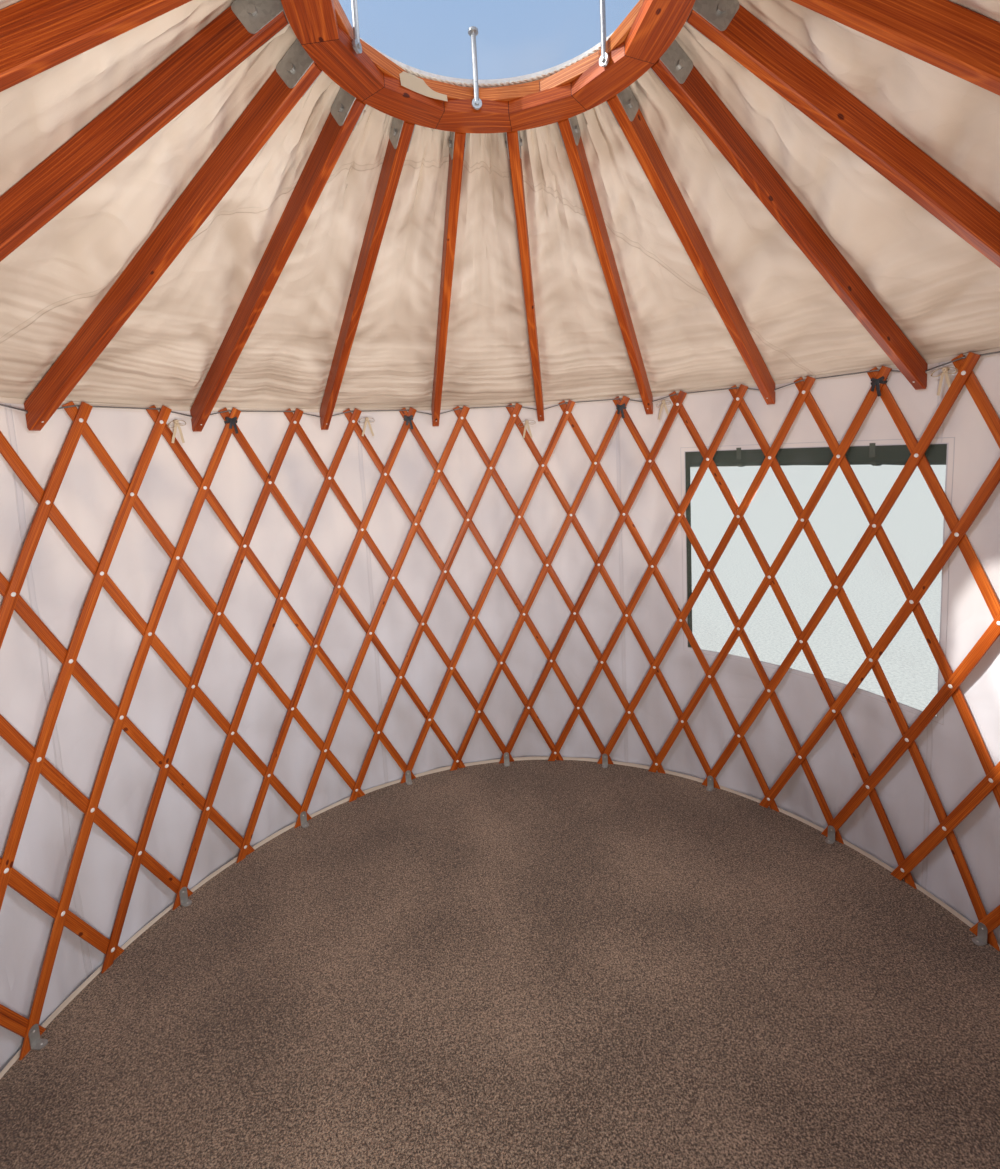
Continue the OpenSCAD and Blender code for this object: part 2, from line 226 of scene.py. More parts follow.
class Shader:
    """A material's node tree and the few ways in which its nodes are made."""

    def __init__(self, name: str) -> None:
        """Makes an empty material."""
        self.material = bpy.data.materials.new(name)
        self.material.use_nodes = True
        self.tree = self.material.node_tree
        self.tree.nodes.clear()
        self.output = self.tree.nodes.new("ShaderNodeOutputMaterial")

    def node(self, kind: str, settings: dict, values: dict) -> bpy.types.Node:
        """Adds a node.

        Args:
            kind: the node's type.
            settings: its own settings; stops are a ramp's places and colours.
            values: for each input, by name or number, a wire, a socket or a plain value.

        Returns:
            The node.
        """
        made = self.tree.nodes.new(kind)
        for name, value in settings.items():
            if name == "stops":
                self.set_stops(made.color_ramp, value)
            else:
                setattr(made, name, value)
        for key, value in values.items():
            if isinstance(value, Wire):
                value = value.socket
            if isinstance(value, bpy.types.NodeSocket):
                self.tree.links.new(value, made.inputs[key])
            else:
                made.inputs[key].default_value = value
        return made

    @staticmethod
    def set_stops(ramp: bpy.types.ColorRamp, stops: Sequence[tuple[float, Colour]]) -> None:
        """Gives a colour ramp its stops."""
        while len(ramp.elements) < len(stops):
            ramp.elements.new(1.0)
        for element, (place, colour) in zip(ramp.elements, stops):
            element.position = place
            element.color = (*colour, 1.0)

    def place(self) -> bpy.types.NodeSocket:
        """Returns the object coordinates."""
        return self.node("ShaderNodeTexCoord", {}, {}).outputs["Object"]

    def board(self) -> bpy.types.NodeSocket:
        """Returns the place on a straight board, which new wooden pieces carry as an attribute."""
        return self.node("ShaderNodeAttribute", {"attribute_name": GRAIN}, {}).outputs["Vector"]

    def hollow(self) -> Wire:
        """Returns how deep in a fold a place on a cloth lies, about -1 to 1, which cloths carry; the cloths
        paint shade into their folds with it.
        """
        return Wire(self, self.node("ShaderNodeAttribute", {"attribute_name": HOLLOW}, {}).outputs["Fac"])

    def cloth(self) -> bpy.types.NodeSocket:
        """Returns the piece's own UV map, in metres."""
        return self.node("ShaderNodeTexCoord", {}, {}).outputs["UV"]

    def split(self, vector: bpy.types.NodeSocket) -> tuple[Wire, Wire, Wire]:
        """Returns a vector's three numbers."""
        made = self.node("ShaderNodeSeparateXYZ", {}, {0: vector})
        return tuple(Wire(self, out) for out in made.outputs)

    def join(self, x: Wire | float, y: Wire | float, z: Wire | float) -> bpy.types.NodeSocket:
        """Returns a vector of three numbers."""
        return self.node("ShaderNodeCombineXYZ", {}, {0: x, 1: y, 2: z}).outputs[0]

    def noise(self, vector: bpy.types.NodeSocket, scale: float, detail: float = 1.0,
              rough: float = 0.5, space: str = "3D") -> Wire:
        """Returns a smooth noise from 0 to 1."""
        made = self.node("ShaderNodeTexNoise", {"noise_dimensions": space}, {
            "Vector": vector, "Scale": scale, "Detail": detail, "Roughness": rough})
        return Wire(self, made.outputs[0])

    def grain(self, x: Wire, y: Wire, detail: float = 1.0) -> Wire:
        """Returns a smooth noise from 0 to 1 of two numbers, for cloths."""
        return self.noise(self.join(x, y, 0.0), 1.0, detail, 0.5, "2D")

    def chance(self, number: Wire) -> Wire:
        """Returns a random number from 0 to 1 for each whole number."""
        made = self.node("ShaderNodeTexWhiteNoise", {"noise_dimensions": "1D"}, {"W": number})
        return Wire(self, made.outputs["Value"])

    def ramp(self, factor: Wire, stops: Sequence[tuple[float, Colour]]) -> bpy.types.NodeSocket:
        """Returns the colour of a ramp."""
        return self.node("ShaderNodeValToRGB", {"stops": stops}, {0: factor}).outputs[0]

    def mix(self, factor: Wire | float, first: Socketed | Colour,
            second: Socketed | Colour) -> bpy.types.NodeSocket:
        """Returns a mix of two colours."""
        colours = [c if isinstance(c, (Wire, bpy.types.NodeSocket)) else (*c, 1.0) for c in (first, second)]
        made = self.node("ShaderNodeMix", {"data_type": "RGBA"},
                         {0: factor, 6: colours[0], 7: colours[1]})
        return made.outputs[2]

    def bump(self, height: Wire, strength: float, distance: float) -> bpy.types.NodeSocket:
        """Returns a normal bent by a height."""
        made = self.node("ShaderNodeBump", {}, {"Height": height, "Strength": strength, "Distance": distance})
        return made.outputs[0]

    def surface(self, values: dict) -> bpy.types.NodeSocket:
        """Returns a Principled surface with these inputs."""
        return self.node("ShaderNodeBsdfPrincipled", {}, values).outputs[0]

    def close(self, surface: bpy.types.NodeSocket) -> bpy.types.Material:
        """Joins the surface to the output and returns the material."""
        self.tree.links.new(surface, self.output.inputs["Surface"])
        return self.material


GRAIN = "grain"
HOLLOW = "hollow"
SPREAD = 1.2


class Boards(enum.Enum):
    """How a wooden piece's boards lie."""

    STRAIGHT = "straight"
    RAFTERS = "rafters"
    RING = "ring"
    UPRIGHT = "upright"
    ACROSS = "across"


@dataclass(frozen=True)
class StainedWood:
    """Softwood with a reddish satin stain.

    Attributes:
        name: the material's name.
        boards: how the boards lie, which sets the grain's direction.
        turn: azimuth of a joint, for the ring's layers.
        sector: azimuth from one joint to the next, for the ring's layers.
        dark: colour of the late wood and the knots.
        middle: colour between the two.
        light: colour of the early wood.
        ring_gap: distance from one growth ring to the next.
        rough: roughness of the stain.
    """

    name: str
    boards: Boards
    turn: float = 0.0
    sector: float = math.radians(30)
    dark: Colour = (0.075, 0.010, 0.003)
    middle: Colour = (0.30, 0.046, 0.005)
    light: Colour = (0.58, 0.135, 0.018)
    ring_gap: float = 0.0050
    rough: float = 0.42

    def lay(self, shader: Shader) -> tuple[Wire, Wire, Wire, Wire, Wire | None]:
        """Works out the place on a board.

        Returns:
            Across, deep and along the board, the board's number, and the distance to a joint, if any.
        """
        if self.boards is Boards.STRAIGHT:
            across, deep, along = shader.split(shader.board())
            return across, deep, along, (across / 5).apply("FLOOR"), None
        x, y, z = shader.split(shader.place())
        if self.boards is Boards.UPRIGHT:
            return x, y, z, (x * 3).apply("FLOOR"), None
        if self.boards is Boards.ACROSS:
            return z, y, x, (z * 4).apply("FLOOR"), None
        sector = Plan().bay if self.boards is Boards.RAFTERS else self.sector
        bearing = x.step("ARCTAN2", x, y) - self.turn
        index = (bearing / sector).apply("FLOOR")
        swing = bearing - (index + 0.5) * sector
        radius = (x * x + y * y).apply("SQRT")
        side = radius * swing.apply("SINE")
        out = radius * swing.apply("COSINE")
        if self.boards is Boards.RING:
            seam = (swing.apply("ABSOLUTE") * -1 + sector / 2) * radius
            return out, z, side, index, seam
        pitch = Plan().pitch
        down = out * math.cos(pitch) - z * math.sin(pitch)
        deep = out * math.sin(pitch) + z * math.cos(pitch)
        return side, deep, down, index, None

    def make(self) -> bpy.types.Material:
        """Returns the material."""
        shader = Shader(self.name)
        across, deep, along, index, seam = self.lay(shader)
        lot = shader.chance(index + 0.5)
        a = across + lot * 3.7
        d = deep + lot * 1.9
        wander = shader.noise(shader.join(a * 5, d * 5, along * 0.9 + lot * 9), 1.0, 1.0)
        pith_a = across - (lot - 0.5) * 0.07
        pith_d = deep * 0.6 + wander * 0.05 + lot * 0.03
        growth = (pith_a * pith_a + pith_d * pith_d).apply("SQRT") + wander * 0.030
        late = ((growth / self.ring_gap).apply("FRACT") - 0.5).apply("ABSOLUTE") * 2
        late = late.between(0.60, 1.0)
        fibre = shader.noise(shader.join(a * 330, d * 330, along * 5), 1.0, 1.0)
        streak = shader.noise(shader.join(a * 40, d * 40, along * 1.1), 1.0, 2.0, 0.6)
        cell = shader.node("ShaderNodeTexVoronoi", {"voronoi_dimensions": "2D"}, {
            "Vector": shader.join((a + d) * 8, along * 5 + a * 1.5, 0.0), "Scale": 1.0, "Randomness": 1.0})
        draw = shader.split(cell.outputs["Color"])[0]
        reach = Wire(shader, cell.outputs["Distance"]) + (1 - draw).between(0.25, 0.60) * 0.5
        knot = reach.between(0.068, 0.035)
        halo = reach.between(0.24, 0.07) - knot
        tone = (streak - 0.5) * 0.70 + (fibre - 0.5) * 0.75 + late * 0.26 + (lot - 0.5) * 0.20 + 0.44
        tone = tone - knot * 0.55 + halo * 0.10
        if seam is not None:
            tone = tone - seam.between(0.0016, 0.0004) * 0.8
        # Painted highlight: a thin lighter line along each rafter's two lower arrises, where the chamfered
        # edge catches the light.
        if self.boards is Boards.RAFTERS:
            plan = Plan()
            low = plan.tip_r * math.sin(plan.pitch) + (plan.head_z - plan.tip_drop) * math.cos(plan.pitch)
            side = across.apply("ABSOLUTE").between(plan.rafter_w / 2 - 0.0030, plan.rafter_w / 2 - 0.0012)
            tone = tone + side * deep.between(low + 0.0030, low + 0.0012) * (streak * 0.5 + 0.10)
        colour = shader.ramp(tone, [(0.0, self.dark), (0.45, self.middle), (1.0, self.light)])
        rough = (streak - 0.5) * 0.25 + knot * 0.1 + self.rough
        return shader.close(shader.surface({
            "Base Color": colour, "Roughness": rough, "Specular IOR Level": 0.22,
            "Normal": shader.bump(fibre, 0.6, 0.0005)}))


@dataclass(frozen=True)
class Canvas:
    """Coated canvas with a fine weave, soft creases, a little dust, and painted shade in its creases and
    folds.

    Attributes:
        name: the material's name.
        colour: the clean cloth.
        shade: the colour where the cloth is dusty or stained, and of the painted shade in its creases and
            folds.
        crease: how strong the creases are, in the bump and in their painted shade, 1 for a cloth that was
            folded away.
        seams: distance between the sewn seams along the first cloth direction, or 0.
        rough: roughness of the coating.
        weave: distance between threads.
        painted_fold_shade: how much darker the colour is painted in a deep fold, as painted shade.
    """

    name: str
    colour: Colour
    shade: Colour
    crease: float = 1.0
    seams: float = 0.0
    rough: float = 0.75
    weave: float = 0.0011
    painted_fold_shade: float = 0.40

    def folds(self, shader: Shader, u: Wire, v: Wire) -> Wire:
        """Returns the height in metres of folds that only this cloth has.

        Args:
            shader: the material's nodes.
            u: place along the cloth's first direction, in metres.
            v: place along its second direction, in metres.
        """
        return (shader.grain(u * 30, v * 30) - 0.5) * 0.0008

    def sewn(self, shader: Shader, u: Wire, v: Wire) -> tuple[Wire | float, Wire | float]:
        """Returns the height in metres and the darkness of the seams, from 0 to 1."""
        if not self.seams:
            return 0.0, 0.0
        across = ((u / self.seams).apply("FRACT") - 0.5).apply("ABSOLUTE") * self.seams
        lap = across.between(0.0125, 0.0105)
        row = (across - 0.008).apply("ABSOLUTE").between(0.0012, 0.0004)
        stitch = (v / 0.0045).apply("FRACT").between(0.30, 0.40)
        return lap * 0.0008 - row * stitch * 0.0006, lap * 0.16 + row * stitch * 0.4

    def clean(self, shader: Shader, v: Wire) -> Socketed | Colour:
        """Returns the cloth's colour before dust and painted shade, at a place along its second direction; a
        cloth may paint light into it.
        """
        return self.colour

    def make(self) -> bpy.types.Material:
        """Returns the material."""
        shader = Shader(self.name)
        flat = shader.cloth()
        u, v, _ = shader.split(flat)
        dust = shader.noise(flat, 1.7, 1.0, 0.6, "2D")
        soft = shader.noise(flat, 4.6, 1.0, 0.55, "2D")
        small = ((soft - 0.5).apply("ABSOLUTE") * -11 + 1).most(0.0)
        per_metre = 2 * math.pi / self.weave
        threads = (u * per_metre).apply("SINE") * (v * per_metre).apply("SINE")
        height = (small * 0.0014 + soft * 0.011) * self.crease + threads * 0.00004
        lap, dark = self.sewn(shader, u, v)
        folds = self.folds(shader, u, v)
        height = height + folds + lap
        # Painted shade: the colour follows the height of the creases.
        painted_crease_shade = (soft - 0.5) * -0.8 + small * 0.06
        # Painted shade: darker deep in the cloth's folds, from the fold depth that the mesh carries and from
        # the material's own folds.
        depth = shader.hollow() - folds * 105
        tone = (dust - 0.5) * 0.4 + painted_crease_shade * self.crease + depth * self.painted_fold_shade + 0.40 + dark
        return shader.close(shader.surface({
            "Base Color": shader.mix(tone.between(0.0, 1.0), self.clean(shader, v), self.shade),
            "Roughness": self.rough, "Specular IOR Level": 0.25,
            "Normal": shader.bump(height, 1.0, 1.0)}))


@dataclass(frozen=True)
class RoofCanvas(Canvas):
    """The roof's canvas, gathered at the ring, pinched along the rafters and rippled at the eave.

    Its first cloth direction is the azimuth times SPREAD, its second the way down from the ring.

    Attributes:
        ripple: height of the ripples at the eave.
        gather: height of the gathers at the ring.
        pinch: height of the short folds beside the rafters.
        widths: distance between the seams of the cloth's straight widths.
        seam_turn: direction of those seams, from +X towards +Y.
        seam_off: distance of one of them from the yurt's axis.
    """

    ripple: float = 0.0190
    gather: float = 0.0180
    pinch: float = 0.0165
    widths: float = 1.5
    seam_turn: float = math.radians(12.5)
    seam_off: float = 0.665

    def folds(self, shader: Shader, u: Wire, v: Wire) -> Wire:
        """Returns the height in metres of the gathers, pinches and ripples."""
        plan = Plan()
        turn = (u / (SPREAD * plan.bay)).apply("FRACT") - 0.5
        away = turn.apply("ABSOLUTE") * plan.bay * (v * math.cos(plan.pitch) + plan.ring_r)
        near = away.between(0.25, 0.012)
        ripples = shader.grain(u * 1.9, v * 21)
        gathers = shader.grain(u * 15 + v * 1.2, v * 1.6)
        pinches = shader.grain(u * 3.5, v * 13 + turn.apply("SIGN") * (u * 9), 0.0)
        return ((ripples - 0.5) * v.between(0.85, 1.45) * self.ripple
                + (gathers - 0.5) * v.between(0.85, 0.05) * self.gather + (pinches - 0.5) * near * self.pinch)

    def sewn(self, shader: Shader, u: Wire, v: Wire) -> tuple[Wire, Wire]:
        """Returns the height in metres and the darkness of the straight seams, from 0 to 1."""
        x, y, _ = shader.split(shader.place())
        off = y * math.cos(self.seam_turn) - x * math.sin(self.seam_turn) - self.seam_off
        across = ((off / self.widths + 0.5).apply("FRACT") - 0.5).apply("ABSOLUTE") * self.widths
        lap = across.between(0.0085, 0.0065)
        edge = (across - 0.0075).apply("ABSOLUTE").between(0.0022, 0.0008)
        return lap * 0.0012, lap * 0.10 + edge * 0.35


@dataclass(frozen=True)
class WallCanvas(Canvas):
    """The wall's canvas, with soft upright folds, a stitched hem round each window, and painted light: cool
    shade painted at the foot and warm light painted at the top.

    Attributes:
        hem: width of the hem round a window.
        drape: height of the upright folds.
        low: the cloth's colour at the foot, painted cool and bluish as shade.
    """

    # Painted shade in the wall's folds, weaker than on the roof.
    painted_fold_shade: float = 0.22
    hem: float = 0.024
    drape: float = 0.0180
    low: Colour = (0.67, 0.69, 0.76)

    def clean(self, shader: Shader, v: Wire) -> bpy.types.NodeSocket:
        """Returns the cloth's colour with painted light: cool painted shade at the foot, warm painted light
        at the top.
        """
        return shader.mix(v.between(0.5, 2.2), self.low, self.colour)

    def rim(self, u: Wire, v: Wire) -> Wire:
        """Returns the distance outside the nearer window's edge, below 0 inside it."""
        plan = Plan()
        half_turn = math.pi * plan.skin_r
        middle = (plan.window[0] + plan.window[1]) / 2 * plan.skin_r
        half = (plan.window[1] - plan.window[0]) / 2 * plan.skin_r
        across = ((u - middle) / half_turn + 0.5).apply("FRACT") - 0.5
        level = (plan.window_low + plan.window_top) / 2
        tall = (plan.window_top - plan.window_low) / 2
        return (across.apply("ABSOLUTE") * half_turn - half).most((v - level).apply("ABSOLUTE") - tall)

    def folds(self, shader: Shader, u: Wire, v: Wire) -> Wire:
        """Returns the height in metres of the upright folds."""
        upright = shader.grain(u * 6.5, v * 0.7)
        foot = shader.grain(u * 17, v * 5 + 6.0, 0.0)
        return (upright - 0.5) * self.drape + (foot - 0.5) * v.between(0.75, 0.15) * self.drape * 0.6

    def sewn(self, shader: Shader, u: Wire, v: Wire) -> tuple[Wire, Wire]:
        """Returns the height in metres and the darkness of the seams and hems, from 0 to 1."""
        height, dark = Canvas.sewn(self, shader, u, v)
        off = self.rim(u, v)
        band = off.between(self.hem, self.hem - 0.0015)
        edge = (off - self.hem).apply("ABSOLUTE").between(0.0025, 0.0010)
        bound = off.between(0.005, 0.0035)
        return height + band * 0.0012, dark + edge * 0.5 + bound * 0.7


@dataclass(frozen=True)
class Zinc:
    """Galvanised or plated steel.

    Attributes:
        name: the material's name.
        colour: the clean metal.
        dull: the dulled metal.
        spangle: size of the zinc's crystals.
        rough: its roughness.
    """

    name: str
    colour: Colour
    dull: Colour
    spangle: float = 0.012
    rough: float = 0.42

    def make(self) -> bpy.types.Material:
        """Returns the material."""
        shader = Shader(self.name)
        place = shader.place()
        crystal = shader.node("ShaderNodeTexVoronoi", {}, {"Vector": place, "Scale": 1 / self.spangle})
        grey = shader.split(crystal.outputs["Color"])[0]
        haze = shader.noise(place, 30.0, 3.0, 0.6)
        tone = (grey - 0.5) * 0.35 + (haze - 0.5) * 0.7 + 0.5
        return shader.close(shader.surface({
            "Base Color": shader.mix(tone.between(0.0, 1.0), self.dull, self.colour),
            "Metallic": 0.65, "Roughness": self.rough + (haze - 0.5) * 0.3,
            "Normal": shader.bump(grey * 0.4 + haze, 0.25, 0.0004)}))


@dataclass(frozen=True)
class Pile:
    """Short dense carpet of mixed brown and grey loops."""

    name: str
    dark: Colour = (0.065, 0.043, 0.030)
    light: Colour = (0.480, 0.345, 0.240)

    def make(self) -> bpy.types.Material:
        """Returns the material."""
        shader = Shader(self.name)
        place = shader.place()
        loops = shader.node("ShaderNodeTexVoronoi", {"voronoi_dimensions": "2D"},
                            {"Vector": place, "Scale": 230.0})
        tuft = Wire(shader, loops.outputs["Distance"])
        mixed = shader.noise(place, 165.0, 2.0, 0.8)
        worn = shader.noise(place, 2.2, 1.0, 0.5, "2D")
        tone = (mixed - 0.5) * 2.5 + 0.47 + (worn - 0.5) * 0.35 - tuft * 0.25
        return shader.close(shader.surface({
            "Base Color": shader.mix(tone.between(0.0, 1.0), self.dark, self.light),
            "Roughness": 0.95, "Specular IOR Level": 0.1, "Sheen Weight": 0.25,
            "Normal": shader.bump(mixed - tuft, 0.9, 0.003)}))


@dataclass(frozen=True)
class Clear:
    """A clear sheet that lets light through without bending it.

    Attributes:
        name: the material's name.
        tint: colour of the light that passes.
        gloss: share of the light that is thrown back.
        haze: how dusty the sheet is.
    """

    name: str
    tint: Colour
    gloss: float
    haze: float

    def make(self) -> bpy.types.Material:
        """Returns the material."""
        shader = Shader(self.name)
        place = shader.place()
        smear = shader.noise(place, 3.0, 1.0, 0.65)
        ripple = shader.noise(place, 5.0, 0.0)
        through = shader.node("ShaderNodeBsdfTransparent", {}, {0: (*self.tint, 1.0)}).outputs[0]
        shine = shader.surface({
            "Base Color": (0.86, 0.88, 0.90, 1.0), "Roughness": 0.12 + smear * 0.2,
            "Normal": shader.bump(ripple, 0.25, 0.01)})
        edge = Wire(shader, shader.node("ShaderNodeLayerWeight", {}, {"Blend": 0.25}).outputs["Fresnel"])
        share = edge * self.gloss + smear.between(0.52, 0.75) * self.haze
        return shader.close(shader.node("ShaderNodeMixShader", {}, {
            0: share, 1: through, 2: shine}).outputs[0])


@dataclass(frozen=True)
class Plain:
    """A moulded or painted part with faint wear."""

    name: str
    colour: Colour
    rough: float = 0.4

    def make(self) -> bpy.types.Material:
        """Returns the material."""
        shader = Shader(self.name)
        wear = shader.noise(shader.place(), 40.0, 2.0, 0.6)
        darker = tuple(c * 0.78 for c in self.colour)
        return shader.close(shader.surface({
            "Base Color": shader.mix(wear.between(0.35, 0.75), self.colour, darker),
            "Roughness": self.rough + (wear - 0.5) * 0.2,
            "Normal": shader.bump(wear, 0.12, 0.0006)}))


class Workshop:
    """Turns bmeshes into finished pieces, and dresses the frame's own nodes."""

    def __init__(self) -> None:
        """Starts with no material made."""
        self.made: dict[str, bpy.types.Material] = {}

    def finish_of(self, finish: object) -> bpy.types.Material:
        """Returns the finish's material, made once."""
        if finish.name not in self.made:
            self.made[finish.name] = finish.make()
        return self.made[finish.name]

    def piece(self, name: str, mesh: bmesh.types.BMesh, finish: object, slot: str,
              replaces: Iterable[str] = (), sharp: float = 40.0) -> bpy.types.Object:
        """Makes an object of a mesh that lies in its place.

        Args:
            name: the piece's name.
            mesh: the mesh, which is freed.
            finish: what it is made of.
            slot: the record's material slot; not used.
            replaces: the frame's nodes that it stands for.
            sharp: angle in degrees past which an edge is sharp.

        Returns:
            The object.
        """
        data = bpy.data.meshes.new(name)
        mesh.to_mesh(data)
        mesh.free()
        data.shade_smooth()
        data.set_sharp_from_angle(angle=math.radians(sharp))
        made = bpy.data.objects.new(name, data)
        bpy.context.scene.collection.objects.link(made)
        made.data.materials.append(self.finish_of(finish))
        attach(made, BODY)
        if replaces:
            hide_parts(*replaces)
        LOG.info("%s: %d faces", name, len(data.polygons))
        return made

    def dress(self, finish: object, *nodes: str) -> None:
        """Gives nodes of the frame a finish."""
        for node in nodes:
            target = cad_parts[node]
            if not target.material_slots:
                target.data.materials.append(None)
            for slot in target.material_slots:
                slot.material = self.finish_of(finish)


def wrap(mesh: bmesh.types.BMesh, radius: float) -> None:
    """Bends a flat layout round the yurt, with its x along the wall at that radius."""
    for vert in mesh.verts:
        u, out, z = vert.co
        vert.co = spot(u / radius, radius + out, z)


def azimuth(place: Vector) -> float:
    """Returns a point's azimuth in radians."""
    return math.atan2(place.x, place.y)


def lay_flat(mesh: bmesh.types.BMesh, flat: Callable[[Vector], tuple[float, float]]) -> None:
    """Gives a cloth its UV map in metres.

    Args:
        mesh: the cloth.
        flat: returns the place on the flat cloth of a point of the mesh.
    """
    uv = mesh.loops.layers.uv.new("UVMap")
    for face in mesh.faces:
        for loop in face.loops:
            loop[uv].uv = flat(loop.vert.co)


def thicken(mesh: bmesh.types.BMesh, thickness: float) -> None:
    """Gives a cloth its thickness, with its faces outwards."""
    bmesh.ops.solidify(mesh, geom=mesh.faces[:], thickness=thickness)
    bmesh.ops.recalc_face_normals(mesh, faces=mesh.faces)


def divide(corners: Sequence[tuple[float, float]], steps: Sequence[float],
           fewest: int) -> list[tuple[float, float]]:
    """Returns the points that cut the lines between corners into pieces.

    Args:
        corners: radius and height of each line's end.
        steps: about how long the pieces of each line are.
        fewest: the fewest pieces on a line.
    """
    points = []
    for (r0, z0), (r1, z1), step in zip(corners, corners[1:], steps):
        count = max(fewest, round(math.hypot(r1 - r0, z1 - z0) / step))
        points += [(r0 + (r1 - r0) * i / count, z0 + (z1 - z0) * i / count) for i in range(count)]
    return [*points, corners[-1]]


def sweep(points: Iterable[tuple[float, float]], span: tuple[float, float], steps: int,
          closed: bool = False) -> bmesh.types.BMesh:
    """Returns an outline swept round the yurt.

    Args:
        points: radius and height of each point of the outline.
        span: the azimuths where it starts and ends.
        steps: number of pieces along it.
        closed: whether its two ends join.
    """
    mesh = bmesh.new()
    line = [mesh.verts.new((0, r, z)) for r, z in points]
    edges = [mesh.edges.new(pair) for pair in zip(line, line[1:])]
    turn = Matrix.Rotation(-span[0], 3, "Z")
    bmesh.ops.rotate(mesh, cent=(0, 0, 0), matrix=turn, verts=mesh.verts)
    bmesh.ops.spin(mesh, geom=line + edges, cent=(0, 0, 0), axis=(0, 0, -1), angle=span[1] - span[0],
                   steps=steps, use_merge=closed)
    return mesh


def tube(mesh: bmesh.types.BMesh, line: Sequence[Vector], radius: float, sides: int,
         closed: bool = False, flat: float = 1.0, broad: Vector | None = None) -> None:
    """Adds a round tube or a flat tape along a line.

    Args:
        mesh: where it is added.
        line: the points of its middle line.
        radius: half of its width.
        sides: sides of its outline.
        closed: whether the last point joins the first.
        flat: its thickness over its width.
        broad: the direction of its width at the first point.
    """
    count = len(line)
    rims = []
    across = broad
    for i, point in enumerate(line):
        before = line[i - 1] if closed or i else point
        after = line[(i + 1) % count] if closed or i < count - 1 else point
        along = (after - before).normalized()
        guide = across if across is not None else along.orthogonal()
        across = (guide - along * guide.dot(along)).normalized()
        turn = Matrix((across, along.cross(across), along)).transposed().to_4x4()
        turn = turn @ Matrix.Diagonal((1, flat, 1, 1))
        turn.translation = point
        end = not closed and i in (0, count - 1)
        rim = bmesh.ops.create_circle(mesh, cap_ends=end, segments=sides, radius=radius, matrix=turn)["verts"]
        rims.append(list({edge for vert in rim for edge in vert.link_edges}))
    for first, second in list(zip(rims, rims[1:])) + ([(rims[-1], rims[0])] if closed else []):
        bmesh.ops.bridge_loops(mesh, edges=first + second)


